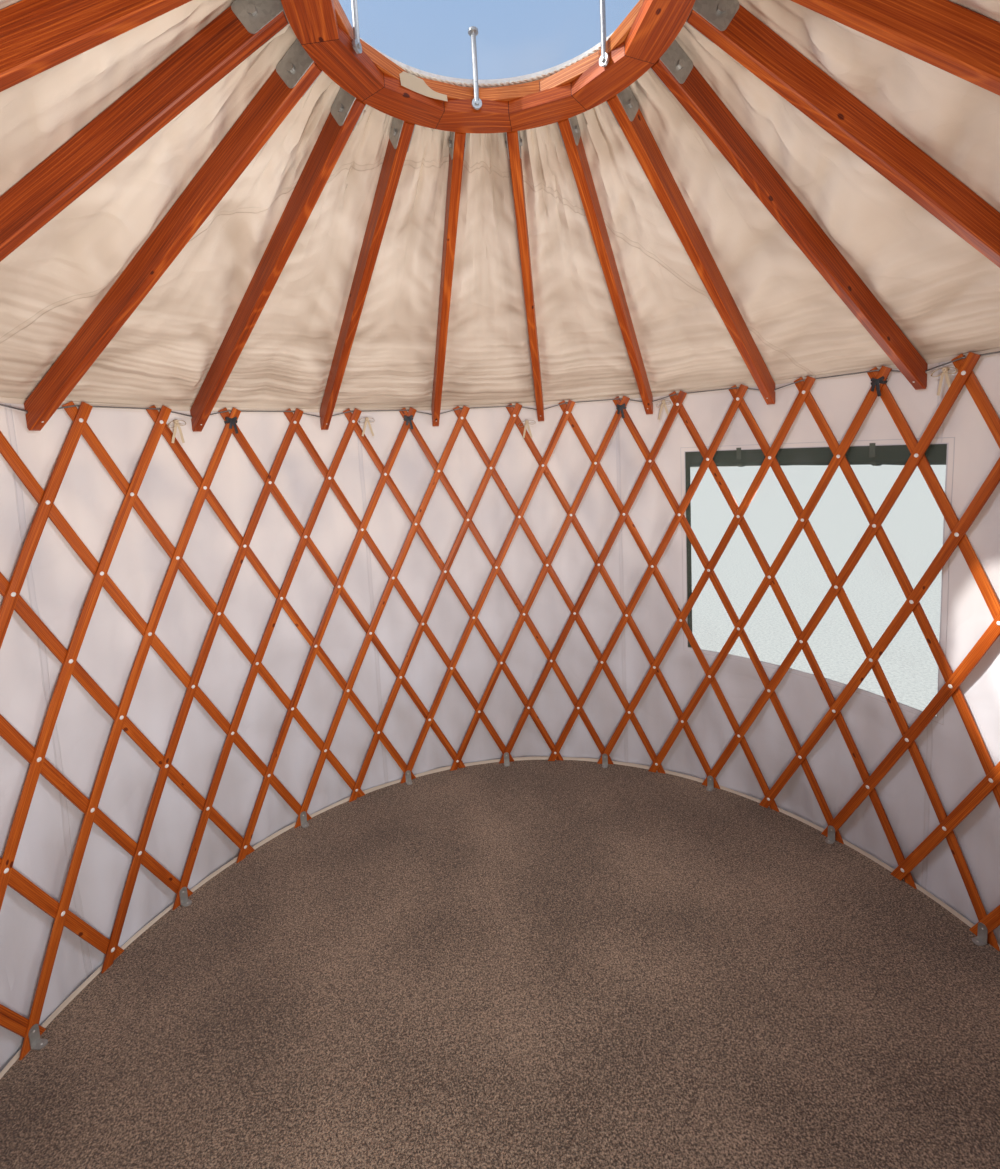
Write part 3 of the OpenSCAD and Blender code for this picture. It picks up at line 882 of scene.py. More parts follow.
@dataclass
class LatticeWall:
    """The two layers of slats and their rivets.

    Attributes:
        slat_w: width of a slat.
        slat_t: thickness of a slat.
        tail_rise: height of a slat's top end over its top rivet.
        ease: size of the rounded edges.
        pieces_along: cuts along a slat, so that it bends round the wall.
        rivet_r: radius of a rivet's head.
        rivet_h: height of a rivet's head.
    """

    plan: Plan
    shop: Workshop
    slat_w: float = 0.040
    slat_t: float = 0.0098
    tail_rise: float = 0.074
    ease: float = 0.0018
    pieces_along: int = 30
    rivet_r: float = 0.0085
    rivet_h: float = 0.0034
    wood: StainedWood = StainedWood("slat_wood", Boards.STRAIGHT, dark=(0.12, 0.018, 0.004),
                                    middle=(0.37, 0.070, 0.008), light=(0.66, 0.175, 0.022))
    metal: Plain = Plain("rivet_metal", (0.80, 0.79, 0.77), 0.30)

    @property
    def lean(self) -> float:
        """A slat's lean from upright."""
        return math.atan2(self.plan.lattice_r * self.plan.cell, self.plan.row_rise)

    def board(self) -> bpy.types.Mesh:
        """Returns one straight slat with eased edges, its bottom rivet at the origin."""
        plan = self.plan
        up = (plan.rows - 1) * plan.row_rise / math.cos(self.lean)
        tail = (self.tail_rise - self.slat_w / 2 * math.sin(self.lean)) / math.cos(self.lean)
        foot = (plan.tail_down + self.slat_w) / math.cos(self.lean)
        length = foot + up + tail
        mesh = bmesh.new()
        bmesh.ops.create_cube(mesh, size=1.0)
        bmesh.ops.scale(mesh, vec=(self.slat_w, self.slat_t, length), verts=mesh.verts)
        bmesh.ops.translate(mesh, vec=(0, 0, length / 2 - foot), verts=mesh.verts)
        bmesh.ops.bevel(mesh, geom=mesh.edges[:], offset=self.ease, segments=2, affect="EDGES",
                        profile=0.5, material=-1)
        long = [e for e in mesh.edges if e.calc_length() > length / 2]
        bmesh.ops.subdivide_edges(mesh, edges=long, cuts=self.pieces_along)
        data = bpy.data.meshes.new("board")
        mesh.to_mesh(data)
        mesh.free()
        return data

    def slat(self, mesh: bmesh.types.BMesh, board: bpy.types.Mesh, start: float, side: int,
             number: int) -> None:
        """Adds one slat to the flat layout.

        Args:
            mesh: the flat layout.
            board: the straight slat.
            start: azimuth of its bottom rivet.
            side: 1 for the slats that rise clockwise, on the room side, and -1 for the others.
            number: the slat's number, which sets its grain.
        """
        plan = self.plan
        before = len(mesh.verts)
        mesh.from_mesh(board)
        verts = mesh.verts[before:]
        layer = mesh.verts.layers.float_vector[GRAIN]
        for vert in verts:
            vert[layer] = vert.co + Vector((5 * number, 0, 0.37 * number))
        bmesh.ops.rotate(mesh, cent=(0, 0, 0), matrix=Matrix.Rotation(side * self.lean, 3, "Y"), verts=verts)
        bmesh.ops.translate(mesh, vec=(start * plan.lattice_r, -side * self.slat_t / 2, plan.foot_z),
                            verts=verts)

    def layer(self, side: int) -> bmesh.types.BMesh:
        """Returns all slats of one layer, cut at the floor and at the door posts."""
        plan = self.plan
        mesh = bmesh.new()
        mesh.verts.layers.float_vector.new(GRAIN)
        limit = math.pi - plan.door_half
        reach = (plan.rows - 1) * plan.cell
        count = int(2 * limit / (2 * plan.cell)) + 4
        board = self.board()
        for i in range(count):
            start = -limit + plan.cell + 2 * plan.cell * i - (reach + plan.cell if side > 0 else 0)
            top = start + side * reach
            if max(start, top) > -limit and min(start, top) < limit:
                self.slat(mesh, board, start, side, i + (40 if side < 0 else 0))
        edge = limit * plan.lattice_r
        cuts = [((0, 0, plan.floor_z), (0, 0, -1)), ((edge, 0, 0), (1, 0, 0)), ((-edge, 0, 0), (-1, 0, 0))]
        for place, away in cuts:
            geometry = mesh.verts[:] + mesh.edges[:] + mesh.faces[:]
            cut = bmesh.ops.bisect_plane(mesh, geom=geometry, plane_co=place, plane_no=away,
                                         clear_outer=True)
            rim = [e for e in cut["geom_cut"] if isinstance(e, bmesh.types.BMEdge)]
            bmesh.ops.holes_fill(mesh, edges=rim, sides=0)
        wrap(mesh, plan.lattice_r)
        return mesh

    def rivets(self) -> bmesh.types.BMesh:
        """Returns the rivets' low round heads on the room side."""
        plan = self.plan
        mesh = bmesh.new()
        limit = math.pi - plan.door_half
        steps = round(2 * limit / plan.cell)
        face = plan.lattice_r - self.slat_t
        for row in range(plan.rows):
            for k in range(1, steps):
                if (k + row) % 2:
                    az = -limit + k * plan.cell
                    turn = Matrix.Rotation(-az, 4, "Z") @ Matrix.Rotation(math.pi / 2, 4, "X")
                    turn.translation = spot(az, face - self.rivet_h / 2, plan.foot_z + row * plan.row_rise)
                    made = bmesh.ops.create_cone(
                        mesh, cap_ends=True, segments=14, radius1=self.rivet_r,
                        radius2=self.rivet_r * 0.72, depth=self.rivet_h, matrix=turn)["verts"]
                    rim = [e for e in {e for v in made for e in v.link_edges}
                           if all((v.co.xy.length < face - self.rivet_h * 0.6) for v in e.verts)]
                    bmesh.ops.bevel(mesh, geom=rim, offset=self.rivet_h * 0.4, segments=2,
                                    affect="EDGES", profile=0.5, material=-1)
        return mesh

    def build(self) -> None:
        """Makes the slats and rivets."""
        nodes = [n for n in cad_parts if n.startswith("lattice_")]
        self.shop.piece("slats_inner", self.layer(1), self.wood, "slats", nodes)
        self.shop.piece("slats_outer", self.layer(-1), self.wood, "slats")
        self.shop.piece("rivets", self.rivets(), self.metal, "galvanised")


@dataclass
class WallCover:
    """The wall's cloth, with its windows cut out, and the strip of hem at its foot.

    Attributes:
        cell: size of the mesh's squares.
        thick: thickness of the cloth.
        strip_h: height of the hem strip.
        strip_steps: number of pieces along it.
        pillow: how far the cloth swells between the slats.
        fold: height of the upright folds.
        foot_fold: how much higher they are at the foot.
        slack: height of the soft unevenness.
        edge_blend: distance from a window over which the cloth goes from tight to loose.
    """

    plan: Plan
    shop: Workshop
    cell: float = 0.0235
    thick: float = 0.0014
    strip_h: float = 0.020
    strip_steps: int = 420
    pillow: float = 0.006
    fold: float = 0.008
    foot_fold: float = 0.012
    slack: float = 0.008
    edge_blend: float = 0.14
    # The wall cloth's colour runs from painted cool shade at the foot to this warm colour at the top, which
    # is painted warm light.
    cloth: WallCanvas = WallCanvas("wall_canvas", (0.79, 0.725, 0.675), (0.54, 0.525, 0.55), 0.38, 1.52)
    trim: Canvas = Canvas("hem_canvas", (0.74, 0.66, 0.56), (0.50, 0.42, 0.34), 0.5)

    def out(self, u: float, z: float) -> float:
        """Returns how far the cloth stands out from its resting face at a place on the wall."""
        plan = self.plan
        across = u / (plan.lattice_r * plan.cell)
        up = (z - plan.foot_z) / plan.row_rise
        line = (across + up) / 2
        touch = abs(line - round(line)) * 2
        pillow = smooth(0.15, 1.0, touch) * self.pillow
        low = 1 - smooth(0.2, 1.4, z)
        broad = noise.noise(Vector((u * 3.4, z * 0.5, 3.1)))
        narrow = noise.noise(Vector((u * 8.5, z * 0.8, 8.0)))
        slack = noise.noise(Vector((u * 3.3, z * 3.3, 0.0)))
        crease = ridge(u * 2.6 + z * 1.5, z * 1.2 - u * 0.6, 5.0)
        folds = (self.fold + self.foot_fold * low) * (0.55 + broad + 0.7 * narrow)
        depth = pillow + folds + self.slack * (slack + crease)
        tight = 1 - 0.8 * smooth(plan.window_top + 0.05, plan.window_top + 0.16, z)
        hemmed = 0.25 + 0.75 * smooth(0.0, self.edge_blend, self.beside(u, z))
        return max(0.0, depth) * tight * hemmed

    def beside(self, u: float, z: float) -> float:
        """Returns the distance outside the nearer window's edge, below 0 inside it."""
        plan = self.plan
        low, high = plan.window
        off = u / plan.skin_r - (low + high) / 2
        across = min(abs(off), abs(off + math.pi)) - (high - low) / 2
        level = (plan.window_low + plan.window_top) / 2
        return max(across * plan.skin_r, abs(z - level) - (plan.window_top - plan.window_low) / 2)

    def sheet(self) -> bmesh.types.BMesh:
        """Returns the flat cloth with its windows cut out, x along the wall."""
        plan = self.plan
        end = plan.wall_end * plan.skin_r
        height = plan.wall_top - plan.hem_z
        mesh = bmesh.new()
        bmesh.ops.create_grid(mesh, x_segments=round(2 * end / self.cell),
                              y_segments=round(height / self.cell), size=1.0)
        level = plan.hem_z + height / 2
        lay = Matrix(((end, 0, 0, 0), (0, 0, 0, 0), (0, height / 2, 0, level), (0, 0, 0, 1)))
        bmesh.ops.transform(mesh, matrix=lay, verts=mesh.verts)
        bmesh.ops.reverse_faces(mesh, faces=mesh.faces)
        spans = self.spans()
        planes = [((x, 0, 0), (1, 0, 0)) for pair in spans for x in pair]
        planes += [((0, 0, z), (0, 0, 1)) for z in (plan.window_low, plan.window_top)]
        for place, away in planes:
            geometry = mesh.verts[:] + mesh.edges[:] + mesh.faces[:]
            bmesh.ops.bisect_plane(mesh, geom=geometry, plane_co=place, plane_no=away, dist=1e-5)
        gone = []
        for face in mesh.faces:
            centre = face.calc_center_median()
            inside = any(low < centre.x < high for low, high in spans)
            if inside and plan.window_low < centre.z < plan.window_top:
                gone.append(face)
        bmesh.ops.delete(mesh, geom=gone, context="FACES")
        lay_flat(mesh, lambda place: (place.x, place.z))
        return mesh

    def spans(self) -> list[tuple[float, float]]:
        """Returns where each window starts and ends along the wall."""
        plan = self.plan
        turned = [a - math.pi for a in plan.window]
        return [tuple(a * plan.skin_r for a in pair) for pair in (plan.window, turned)]

    def strip(self) -> None:
        """Makes the narrow hem that lies along the carpet's edge."""
        plan = self.plan
        outline = [(plan.skin_r - 0.0030 - lean, plan.floor_z + 0.0006 + rise)
                   for rise, lean in ((0.0, 0.0016), (self.strip_h * 0.5, 0.0), (self.strip_h, 0.0008))]
        mesh = sweep(outline, (-plan.wall_end, plan.wall_end), self.strip_steps)
        lay_flat(mesh, lambda place: (azimuth(place) * plan.skin_r, place.z))
        for vert in mesh.verts:
            az = azimuth(vert.co)
            up = (vert.co.z - plan.floor_z) / self.strip_h
            wave = noise.noise(Vector((az * 9, 0.0, 1.0)))
            vert.co = spot(az, vert.co.xy.length + 0.0022 * wave * (1 - up),
                           vert.co.z + up * 0.006 * noise.noise(Vector((az * 7, 3.0, 0.0))))
        thicken(mesh, self.thick)
        made = self.shop.piece("wall_foot_hem", mesh, self.trim, "wall_fabric")

    def build(self) -> None:
        """Makes the wall's cloth and its hem strip."""
        plan = self.plan
        middle = plan.skin_r + self.thick / 2 + 0.0006
        mesh = self.sheet()
        hollow = mesh.verts.layers.float.new(HOLLOW)
        for vert in mesh.verts:
            u, _, z = vert.co
            depth = self.out(u, z)
            # How deep the cloth stands in a fold, which its material turns into painted shade.
            vert[hollow] = (depth - 0.008) / 0.012
            vert.co = spot(u / plan.skin_r, middle + depth, z)
        thicken(mesh, self.thick)
        names = [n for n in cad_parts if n.startswith("wall_")]
        made = self.shop.piece("wall_cloth", mesh, self.cloth, "wall_fabric", names)
        low, high = self.spans()[0]
        flat = (2 * plan.wall_end * plan.skin_r, plan.wall_top - plan.hem_z)
        flat[0] * flat[1] - 2 * (high - low) * (plan.window_top - plan.window_low)
        self.strip()


@dataclass
class RoofCover:
    """The roof's cloth, from the ring's top down the rafters and over the wall as a skirt.

    Attributes:
        thick: thickness of the cloth.
        step: length of the mesh's rows down the roof.
        eave_step: length of the rows near the eave.
        eave_run: length of the part near the eave.
        eave_rise: how far the cloth stands over the rafters' line at the eave, clear of the slats' tips.
        turns: number of pieces round the roof.
        sag: how far the cloth hangs between two rafters.
        gather: height of the gathers at the ring.
        tuck: depth of the sharp tucks between them.
        draw: height of the folds along the eave.
        pinch: height of the folds beside the rafters.
        slack: height of the soft unevenness.
        crease: height of the long creases.
        rope_r: radius of one strand of the rope.
        rope_turns: turns of the rope's strands.
        skirt_low: height of the skirt's hem.
    """

    plan: Plan
    shop: Workshop
    thick: float = 0.0014
    step: float = 0.026
    eave_step: float = 0.014
    eave_run: float = 0.34
    eave_rise: float = 0.021
    turns: int = 540
    sag: float = 0.012
    gather: float = 0.026
    tuck: float = 0.020
    draw: float = 0.020
    pinch: float = 0.018
    slack: float = 0.016
    crease: float = 0.020
    rope_r: float = 0.0034
    rope_turns: int = 70
    skirt_low: float = field(default_factory=lambda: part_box("roof_cover_1")[0].z)
    cloth: RoofCanvas = RoofCanvas("roof_canvas", (0.75, 0.655, 0.545), (0.55, 0.455, 0.36), 0.9)
    cord: Canvas = Canvas("rope_cotton", (0.80, 0.77, 0.70), (0.62, 0.58, 0.50), 0.2)

    @property
    def eave_r(self) -> float:
        """Radius where the roof turns down."""
        return self.plan.skin_r + self.plan.cover_t + 0.0018

    @property
    def inner_r(self) -> float:
        """Radius of the cloth's edge on the ring's curb."""
        return self.plan.ring_r - self.plan.curb_w + 0.0015

    def profile(self) -> list[tuple[float, float]]:
        """Returns radius and height along the cloth, from the ring to the skirt's hem."""
        plan = self.plan
        lift = 0.0016
        foot_r = self.eave_r - self.eave_run * math.cos(plan.pitch)
        corners = [(self.inner_r, plan.ring_top + lift), (plan.ring_r, plan.ring_top + lift),
                   (foot_r, plan.top_z(foot_r) + lift),
                   (self.eave_r, plan.top_z(self.eave_r) + self.eave_rise),
                   (self.eave_r + 0.0016, self.skirt_low)]
        return divide(corners, [self.step, self.step, self.eave_step, self.step], 3)

    def lift(self, az: float, r: float) -> tuple[float, float]:
        """Returns how far the cloth rises from the cone, and how much of that is sharp folds."""
        plan = self.plan
        place = az / plan.bay
        number = math.floor(place)
        swing = place - number - 0.5
        away = abs(swing) * plan.bay * r
        free = smooth(plan.rafter_w / 2, plan.rafter_w / 2 + 0.045, away)
        middle = 1 - abs(abs(swing) * 2 - 1)
        down = (self.eave_r - r) / math.cos(plan.pitch)
        from_ring = (r - plan.ring_r) / math.cos(plan.pitch)
        sag = self.sag * min(1.0, r / 1.2) * (1 - middle * middle)
        near_ring = math.exp(-from_ring / 0.55) * min(1.0, from_ring / 0.05)
        drift = az + 0.05 * noise.noise(Vector((az * 3, from_ring * 2.0, 1.0)))
        gather = ridge(drift * 7.5, from_ring * 0.45, 4.0) - 0.35 + 0.5 * noise.noise(
            Vector((drift * 19, from_ring * 0.8, 9.0)))
        tuck = ridge(drift * 11 + swing * from_ring * 3, from_ring * 0.6, 21.0) ** 2
        wave = near_ring * (self.gather * gather - self.tuck * tuck)
        u = az * r
        near_eave = math.exp(-down / 0.22)
        draw = self.draw * near_eave * noise.noise(Vector((u * 1.2, down * 13, 2.0)))
        beside = math.exp(-(away - plan.rafter_w / 2) / 0.13)
        pull = from_ring * 8 + abs(swing) * 5
        pulled = noise.noise(Vector((u * 3.0, pull, 13.0))) - 0.4 * ridge(u * 2.0, pull * 0.6, 17.0)
        slack = self.slack * noise.noise(Vector((u * 2.3, from_ring * 2.4, 6.0)))
        crease = self.crease * (ridge(u * 1.3 + from_ring * 1.7, from_ring * 1.4 - u * 0.7, 11.0) - 0.3)
        folds = wave + draw + self.pinch * beside * pulled + crease * 0.5
        free *= smooth(0.015, 0.12, down)
        return free * (folds + crease * 0.5 + slack - sag), free * folds

    def lay_out(self, mesh: bmesh.types.BMesh) -> None:
        """Gives each corner its place on the cloth: azimuth times SPREAD, and the way down."""
        plan = self.plan
        uv = mesh.loops.layers.uv.new("UVMap")
        for face in mesh.faces:
            centre = face.calc_center_median()
            middle = azimuth(centre)
            for loop in face.loops:
                co = loop.vert.co
                az = azimuth(co)
                az += 2 * math.pi * round((middle - az) / (2 * math.pi))
                r = co.xy.length
                slope = (r - plan.ring_r) / math.cos(plan.pitch) + max(0.0, plan.top_z(r) - co.z)
                loop[uv].uv = (az * SPREAD, slope)

    def rope(self) -> bpy.types.Object:
        """Makes the two-strand rope sewn into the cloth's inner edge."""
        mesh = bmesh.new()
        middle_r = self.inner_r + 0.002
        middle_z = self.plan.ring_top + 0.0024 + 1.9 * self.rope_r
        steps = self.rope_turns * 7
        for strand in (0.0, math.pi):
            line = []
            for i in range(steps):
                az = 2 * math.pi * i / steps
                twist = strand + az * self.rope_turns
                line.append(spot(az, middle_r + 0.9 * self.rope_r * math.cos(twist),
                                 middle_z + 0.9 * self.rope_r * math.sin(twist)))
            tube(mesh, line, self.rope_r, 6, closed=True)
        bmesh.ops.recalc_face_normals(mesh, faces=mesh.faces)
        return self.shop.piece("crown_rope", mesh, self.cord, "roof_fabric")

    def build(self) -> None:
        """Makes the roof's cloth and its rope."""
        plan = self.plan
        mesh = sweep(self.profile(), (0.0, 2 * math.pi), self.turns, closed=True)
        bmesh.ops.recalc_face_normals(mesh, faces=mesh.faces)
        self.lay_out(mesh)
        hollow = mesh.verts.layers.float.new(HOLLOW)
        normal_r = math.sin(plan.pitch)
        normal_z = math.cos(plan.pitch)
        for vert in mesh.verts:
            r = vert.co.xy.length
            az = azimuth(vert.co)
            if plan.ring_r + 0.004 < r < self.eave_r - 0.004:
                rise, folds = self.lift(az, r)
                # How deep the sharp folds are, which the roof's material turns into painted shade.
                vert[hollow] = folds / 0.016
                vert.co = spot(az, r + rise * normal_r, vert.co.z + rise * normal_z)
            elif r >= self.eave_r - 0.004:
                low = smooth(plan.top_z(self.eave_r) - 0.02, self.skirt_low, vert.co.z)
                ripple = noise.noise(Vector((az * 9, vert.co.z * 3, 7.0)))
                vert.co = spot(az, r + low * 0.006 * (ripple + 0.6), vert.co.z)
        thicken(mesh, self.thick)
        names = [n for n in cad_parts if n.startswith("roof_cover_")]
        made = self.shop.piece("roof_cloth", mesh, self.cloth, "roof_fabric", names)
        area = math.pi * ((self.eave_r ** 2 - plan.ring_r ** 2) / math.cos(plan.pitch)
                          + plan.ring_r ** 2 - self.inner_r ** 2)
        area += 2 * math.pi * self.eave_r * (plan.top_z(self.eave_r) - self.skirt_low)
        area * 0.999
        self.rope()


@dataclass
class CrownFlap:
    """A short tongue of cloth that hangs over the ring's inner edge.

    Attributes:
        span: the azimuths of its two sides.
        drop: how far it hangs below the ledge of the faceted layers.
        thick: thickness of the cloth.
        step: length of the mesh's rows.
        columns: number of pieces across it.
    """

    plan: Plan
    shop: Workshop
    span: tuple[float, float] = (math.radians(-42.5), math.radians(-19))
    drop: float = 0.055
    thick: float = 0.0012
    step: float = 0.008
    columns: int = 18
    cloth: Canvas = Canvas("tongue_canvas", (0.60, 0.49, 0.35), (0.42, 0.33, 0.22), 0.6)

    def build(self) -> None:
        """Makes the tongue, from the curb over the ledge of the faceted layers."""
        plan = self.plan
        ledge = plan.ring_z + 2 * plan.layer_h
        curb_r = plan.ring_r - plan.curb_w
        inner = plan.ring_r - plan.ring_w
        corners = [(curb_r - 0.0015, plan.ring_top - 0.001), (curb_r - 0.0035, ledge + 0.006),
                   (curb_r - 0.010, ledge + 0.0016), (inner - 0.001, ledge + 0.0018),
                   (inner - 0.0075, ledge - 0.005), (inner - 0.0125, ledge - self.drop)]
        points = divide(corners, [self.step] * (len(corners) - 1), 1)
        mesh = sweep(points, self.span, self.columns)
        lay_flat(mesh, lambda place: (azimuth(place) * inner, place.z + place.xy.length))
        for vert in mesh.verts:
            az = azimuth(vert.co)
            hang = smooth(ledge, ledge - self.drop, vert.co.z)
            wave = noise.noise(Vector((az * 7, 0.0, 5.0)))
            vert.co = spot(az, vert.co.xy.length - hang * 0.006 * (0.6 + 0.4 * wave), vert.co.z)
        thicken(mesh, self.thick)
        made = self.shop.piece("crown_flap", mesh, self.cloth, "roof_fabric")


@dataclass
class Windows:
    """The clear sheets, the rolled flaps above them, and the straps and edging of each.

    Attributes:
        roll_r: outer radius of a rolled flap.
        core_r: radius of its innermost turn.
        thick: thickness of the edging.
        lap: distance from one turn to the next.
        edging_w: width of the edging.
        strap_w: width of the straps.
        roll_z: height of the roll's middle line.
    """

    plan: Plan
    shop: Workshop
    roll_r: float = 0.0388
    core_r: float = 0.006
    thick: float = 0.0013
    lap: float = 0.0036
    edging_w: float = 0.026
    strap_w: float = 0.025
    roll_z: float = field(default_factory=lambda: sum(c.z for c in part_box("window_rolls")) / 2)
    cloth: Canvas = Canvas("flap_canvas", (0.060, 0.078, 0.060), (0.034, 0.046, 0.036), 0.5)
    webbing: Canvas = Canvas("flap_webbing", (0.115, 0.130, 0.105), (0.060, 0.070, 0.058), 0.1, weave=0.0022)
    clear: Clear = Clear("clear_vinyl", (0.97, 0.97, 0.96), 0.5, 0.04)

    @property
    def roll_mid(self) -> float:
        """Radius of the roll's middle line."""
        return self.plan.skin_r + self.plan.cover_t / 2 + self.roll_r + 0.0016

    @property
    def turns(self) -> float:
        """Number of turns in a roll."""
        return (self.roll_r - self.core_r) / self.lap

    @property
    def hang(self) -> float:
        """Length of the flap that hangs from the wall above its roll."""
        return self.plan.window_top + 0.030 - self.roll_z

    def roll(self, low: float, high: float) -> bmesh.types.BMesh:
        """Returns a flap rolled up outwards, with the part that hangs from the wall above it."""
        mesh = bmesh.new()
        steps = round(self.turns * 24)
        line = []
        for i in range(steps + 1):
            t = i / steps
            angle = -math.pi / 2 - 2 * math.pi * self.turns * (1 - t)
            r = self.core_r + (self.roll_r - self.core_r) * t
            line.append(mesh.verts.new((low * self.roll_mid, r * math.sin(angle), r * math.cos(angle))))
        for i in range(1, 6):
            line.append(mesh.verts.new((low * self.roll_mid, -self.roll_r + 0.0006 * i, self.hang * i / 5)))
        rim = [mesh.edges.new(pair) for pair in zip(line, line[1:])]
        cells = 26
        width = (high - low) * self.roll_mid / cells
        for _ in range(cells):
            made = bmesh.ops.extrude_edge_only(mesh, edges=rim)["geom"]
            moved = [g for g in made if isinstance(g, bmesh.types.BMVert)]
            bmesh.ops.translate(mesh, vec=(width, 0, 0), verts=moved)
            rim = [g for g in made if isinstance(g, bmesh.types.BMEdge)
                   and abs(g.verts[0].co.x - g.verts[1].co.x) < 1e-6]
        lay_flat(mesh, lambda place: (place.x, place.z + place.y))
        for vert in mesh.verts:
            u, y, z = vert.co
            squash = 1 - 0.10 * smooth(0.3, 1.0, math.hypot(y, z) / self.roll_r) * (
                noise.noise(Vector((u * 7, y * 20, z * 20))) + 0.5)
            if z > self.roll_r:
                squash = 1
            vert.co = Vector((u, y * squash, self.roll_z + z * squash))
        wrap(mesh, self.roll_mid)
        bmesh.ops.recalc_face_normals(mesh, faces=mesh.faces)
        return mesh

    def straps(self, low: float, high: float) -> bmesh.types.BMesh:
        """Returns the two webbing straps round a rolled flap."""
        mesh = bmesh.new()
        out = self.roll_r + 0.0009
        for share in (0.24, 0.76):
            u = (low + (high - low) * share) * self.roll_mid
            line = []
            for i in range(29):
                angle = -0.5 * math.pi + 1.82 * math.pi * i / 28
                line.append(Vector((u, out * math.sin(angle), self.roll_z + out * math.cos(angle))))
            line.insert(0, Vector((u, -out, self.plan.window_top + 0.012)))
            tube(mesh, line, self.strap_w / 2, 4, flat=0.06, broad=Vector((1, 0, 0)))
        bmesh.ops.recalc_face_normals(mesh, faces=mesh.faces)
        wrap(mesh, self.roll_mid)
        return mesh

    def edging(self, side: float) -> bmesh.types.BMesh:
        """Returns the band down a window's side, from the azimuth of its outer edge inwards."""
        plan = self.plan
        radius = plan.skin_r + plan.cover_t / 2 + 0.0012
        mesh = bmesh.new()
        bmesh.ops.create_grid(mesh, x_segments=2, y_segments=30, size=0.5)
        tall = plan.window_top - plan.window_low
        lay = Matrix(((self.edging_w, 0, 0, side * radius + self.edging_w / 2), (0, 0, 0, 0),
                      (0, tall, 0, plan.window_low + tall / 2), (0, 0, 0, 1)))
        bmesh.ops.transform(mesh, matrix=lay, verts=mesh.verts)
        lay_flat(mesh, lambda place: (place.x, place.z))
        thicken(mesh, self.thick)
        wrap(mesh, radius)
        return mesh

    def build(self) -> None:
        """Makes the flaps, straps and edging and dresses the clear sheets."""
        plan = self.plan
        slot = "flap_fabric"
        turned = tuple(a - math.pi for a in plan.window)
        for name, (low, high) in {"right": plan.window, "left": turned}.items():
            straps = self.shop.piece(f"flap_straps_{name}", self.straps(low, high), self.webbing, slot)
            made = self.shop.piece(f"flap_roll_{name}", self.roll(low, high), self.cloth, slot,
                                   ["window_rolls"])
            (high - low) * self.roll_mid
            edging = self.shop.piece(f"window_edging_{name}", self.edging(low), self.cloth, slot)
        self.shop.dress(self.clear, "window_panes")


